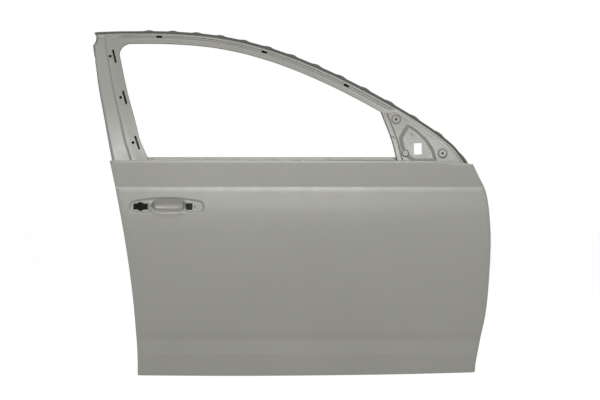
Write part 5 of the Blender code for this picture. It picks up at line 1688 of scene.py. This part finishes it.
def backdrop_material(name, grey, glow, strength):
    """A pale surface that the camera sees lit evenly, while it still takes the shell's shadow."""
    material, tree, shader = blank_material(name)
    wire(tree, shader, {"Base Color": (grey, grey, grey, 1.0), "Roughness": 0.9})
    light = add_node(tree, "Emission", {"Strength": strength})
    ray = add_node(tree, "LightPath", {})
    seen = add_node(tree, "Math", {0: ray.outputs["Is Camera Ray"], 1: ray.outputs["Is Glossy Ray"]},
                    operation="MAXIMUM")
    share = add_node(tree, "Math", {0: seen.outputs["Value"], 1: glow}, operation="MULTIPLY")
    mix = add_node(tree, "MixShader", {0: share.outputs["Value"], 1: shader.outputs["BSDF"],
                                       2: light.outputs["Emission"]})
    wire(tree, tree.nodes["Material Output"], {"Surface": mix.outputs["Shader"]})
    return material


def lamp(name, place, target, size, power):
    data = bpy.data.lights.new(name, "AREA")
    data.shape = "RECTANGLE"
    data.size, data.size_y = size
    data.energy = power
    made = linked(name, data)
    made.location = place
    made.rotation_mode = "QUATERNION"
    made.rotation_quaternion = (Vector(target) - Vector(place)).to_track_quat("-Z", "Y")


class DOORSHELL_OT_stage(bpy.types.Operator):
    """Set the floor, the backdrop, the lamps and the camera."""
    bl_idname = "doorshell.stage"
    bl_label = "Stage"

    def execute(self, context):
        self.floor()
        self.world(context)
        self.lamps()
        self.camera(context)
        context.scene.view_settings.view_transform = "Standard"
        return {"FINISHED"}

    @staticmethod
    def floor():
        bm = bmesh.new()
        bmesh.ops.create_grid(bm, x_segments=1, y_segments=1, size=FLOOR_SIZE)
        floor = meshed("floor", bm)
        floor.data.materials.append(backdrop_material("Pale floor", FLOOR_GREY, *FLOOR_GLOW))
        floor.location = (DOOR_CENTRE.x, 0.0, CAD_BOX[0].z - FLOOR_DROP)

    @staticmethod
    def world(context):
        """Even light from all round, which the camera sees as white."""
        world = bpy.data.worlds.new("Even light")
        world.use_nodes = True
        tree = world.node_tree
        white = (1.0, 1.0, 1.0, 1.0)
        sky = wire(tree, tree.nodes["Background"], {"Color": white, "Strength": settings("stage").sky})
        seen = add_node(tree, "Background", {"Color": white})
        ray = add_node(tree, "LightPath", {})
        mix = add_node(tree, "MixShader", {0: ray.outputs["Is Camera Ray"], 1: sky.outputs["Background"],
                                           2: seen.outputs["Background"]})
        wire(tree, tree.nodes["World Output"], {"Surface": mix.outputs["Shader"]})
        context.scene.world = world

    @staticmethod
    def lamps():
        stage = settings("stage")
        across, reach, size = KEY_LAMP
        place = (DOOR_CENTRE.x + across, -reach * math.cos(stage.key_rise),
                 DOOR_CENTRE.z + reach * math.sin(stage.key_rise))
        lamp("Key lamp", place, DOOR_CENTRE, size, stage.key_power)
        for name, power, place, size in LAMPS:
            lamp(name, place, DOOR_CENTRE, size, getattr(stage, power))

    @staticmethod
    def camera(context):
        """Stand the camera square to the door's side, at its middle."""
        stage = settings("stage")
        lens = bpy.data.cameras.new("Photo camera")
        lens.sensor_width = 36.0
        lens.lens = stage.lens
        camera = linked("Photo camera", lens)
        camera.location = (DOOR_CENTRE.x, SKIN_OUT - stage.camera_distance, DOOR_CENTRE.z)
        camera.rotation_euler = (math.radians(90), 0.0, 0.0)
        context.scene.camera = camera


OPERATORS = (DOORSHELL_OT_stage, DOORSHELL_OT_outer_skin, DOORSHELL_OT_window_frame,
             DOORSHELL_OT_mirror_corner, DOORSHELL_OT_glass_channels, DOORSHELL_OT_inner_panel,
             DOORSHELL_OT_belt_rails, DOORSHELL_OT_inside_steel, DOORSHELL_OT_fasteners)
GROUPS = (("finish", DOORSHELL_PG_finish), ("skin", DOORSHELL_PG_skin), ("frame", DOORSHELL_PG_frame),
          ("inside", DOORSHELL_PG_inside), ("stage", DOORSHELL_PG_stage))


class DOORSHELL_PT_panel(bpy.types.Panel):
    """Sizes, colours and steps of the door shell."""
    bl_idname = "DOORSHELL_PT_panel"
    bl_label = "Door shell"
    bl_space_type = "VIEW_3D"
    bl_region_type = "UI"
    bl_category = "Door shell"

    def draw(self, context):
        layout = self.layout
        for name, group in GROUPS:
            box = layout.box()
            box.label(text=name.capitalize())
            for key in group.__annotations__:
                box.prop(settings(name), key)
        for operator in OPERATORS:
            layout.operator(operator.bl_idname)


def register():
    for name, group in GROUPS:
        bpy.utils.register_class(group)
        setattr(bpy.types.Scene, "doorshell_" + name, PointerProperty(type=group))
    for operator in OPERATORS:
        bpy.utils.register_class(operator)
    bpy.utils.register_class(DOORSHELL_PT_panel)


def unregister():
    bpy.utils.unregister_class(DOORSHELL_PT_panel)
    for operator in reversed(OPERATORS):
        bpy.utils.unregister_class(operator)
    for name, group in reversed(GROUPS):
        delattr(bpy.types.Scene, "doorshell_" + name)
        bpy.utils.unregister_class(group)


def main():
    register()
    for operator in OPERATORS:
        area, _, action = operator.bl_idname.partition(".")
        getattr(getattr(bpy.ops, area), action)()


if __name__ == "__main__":
    main()
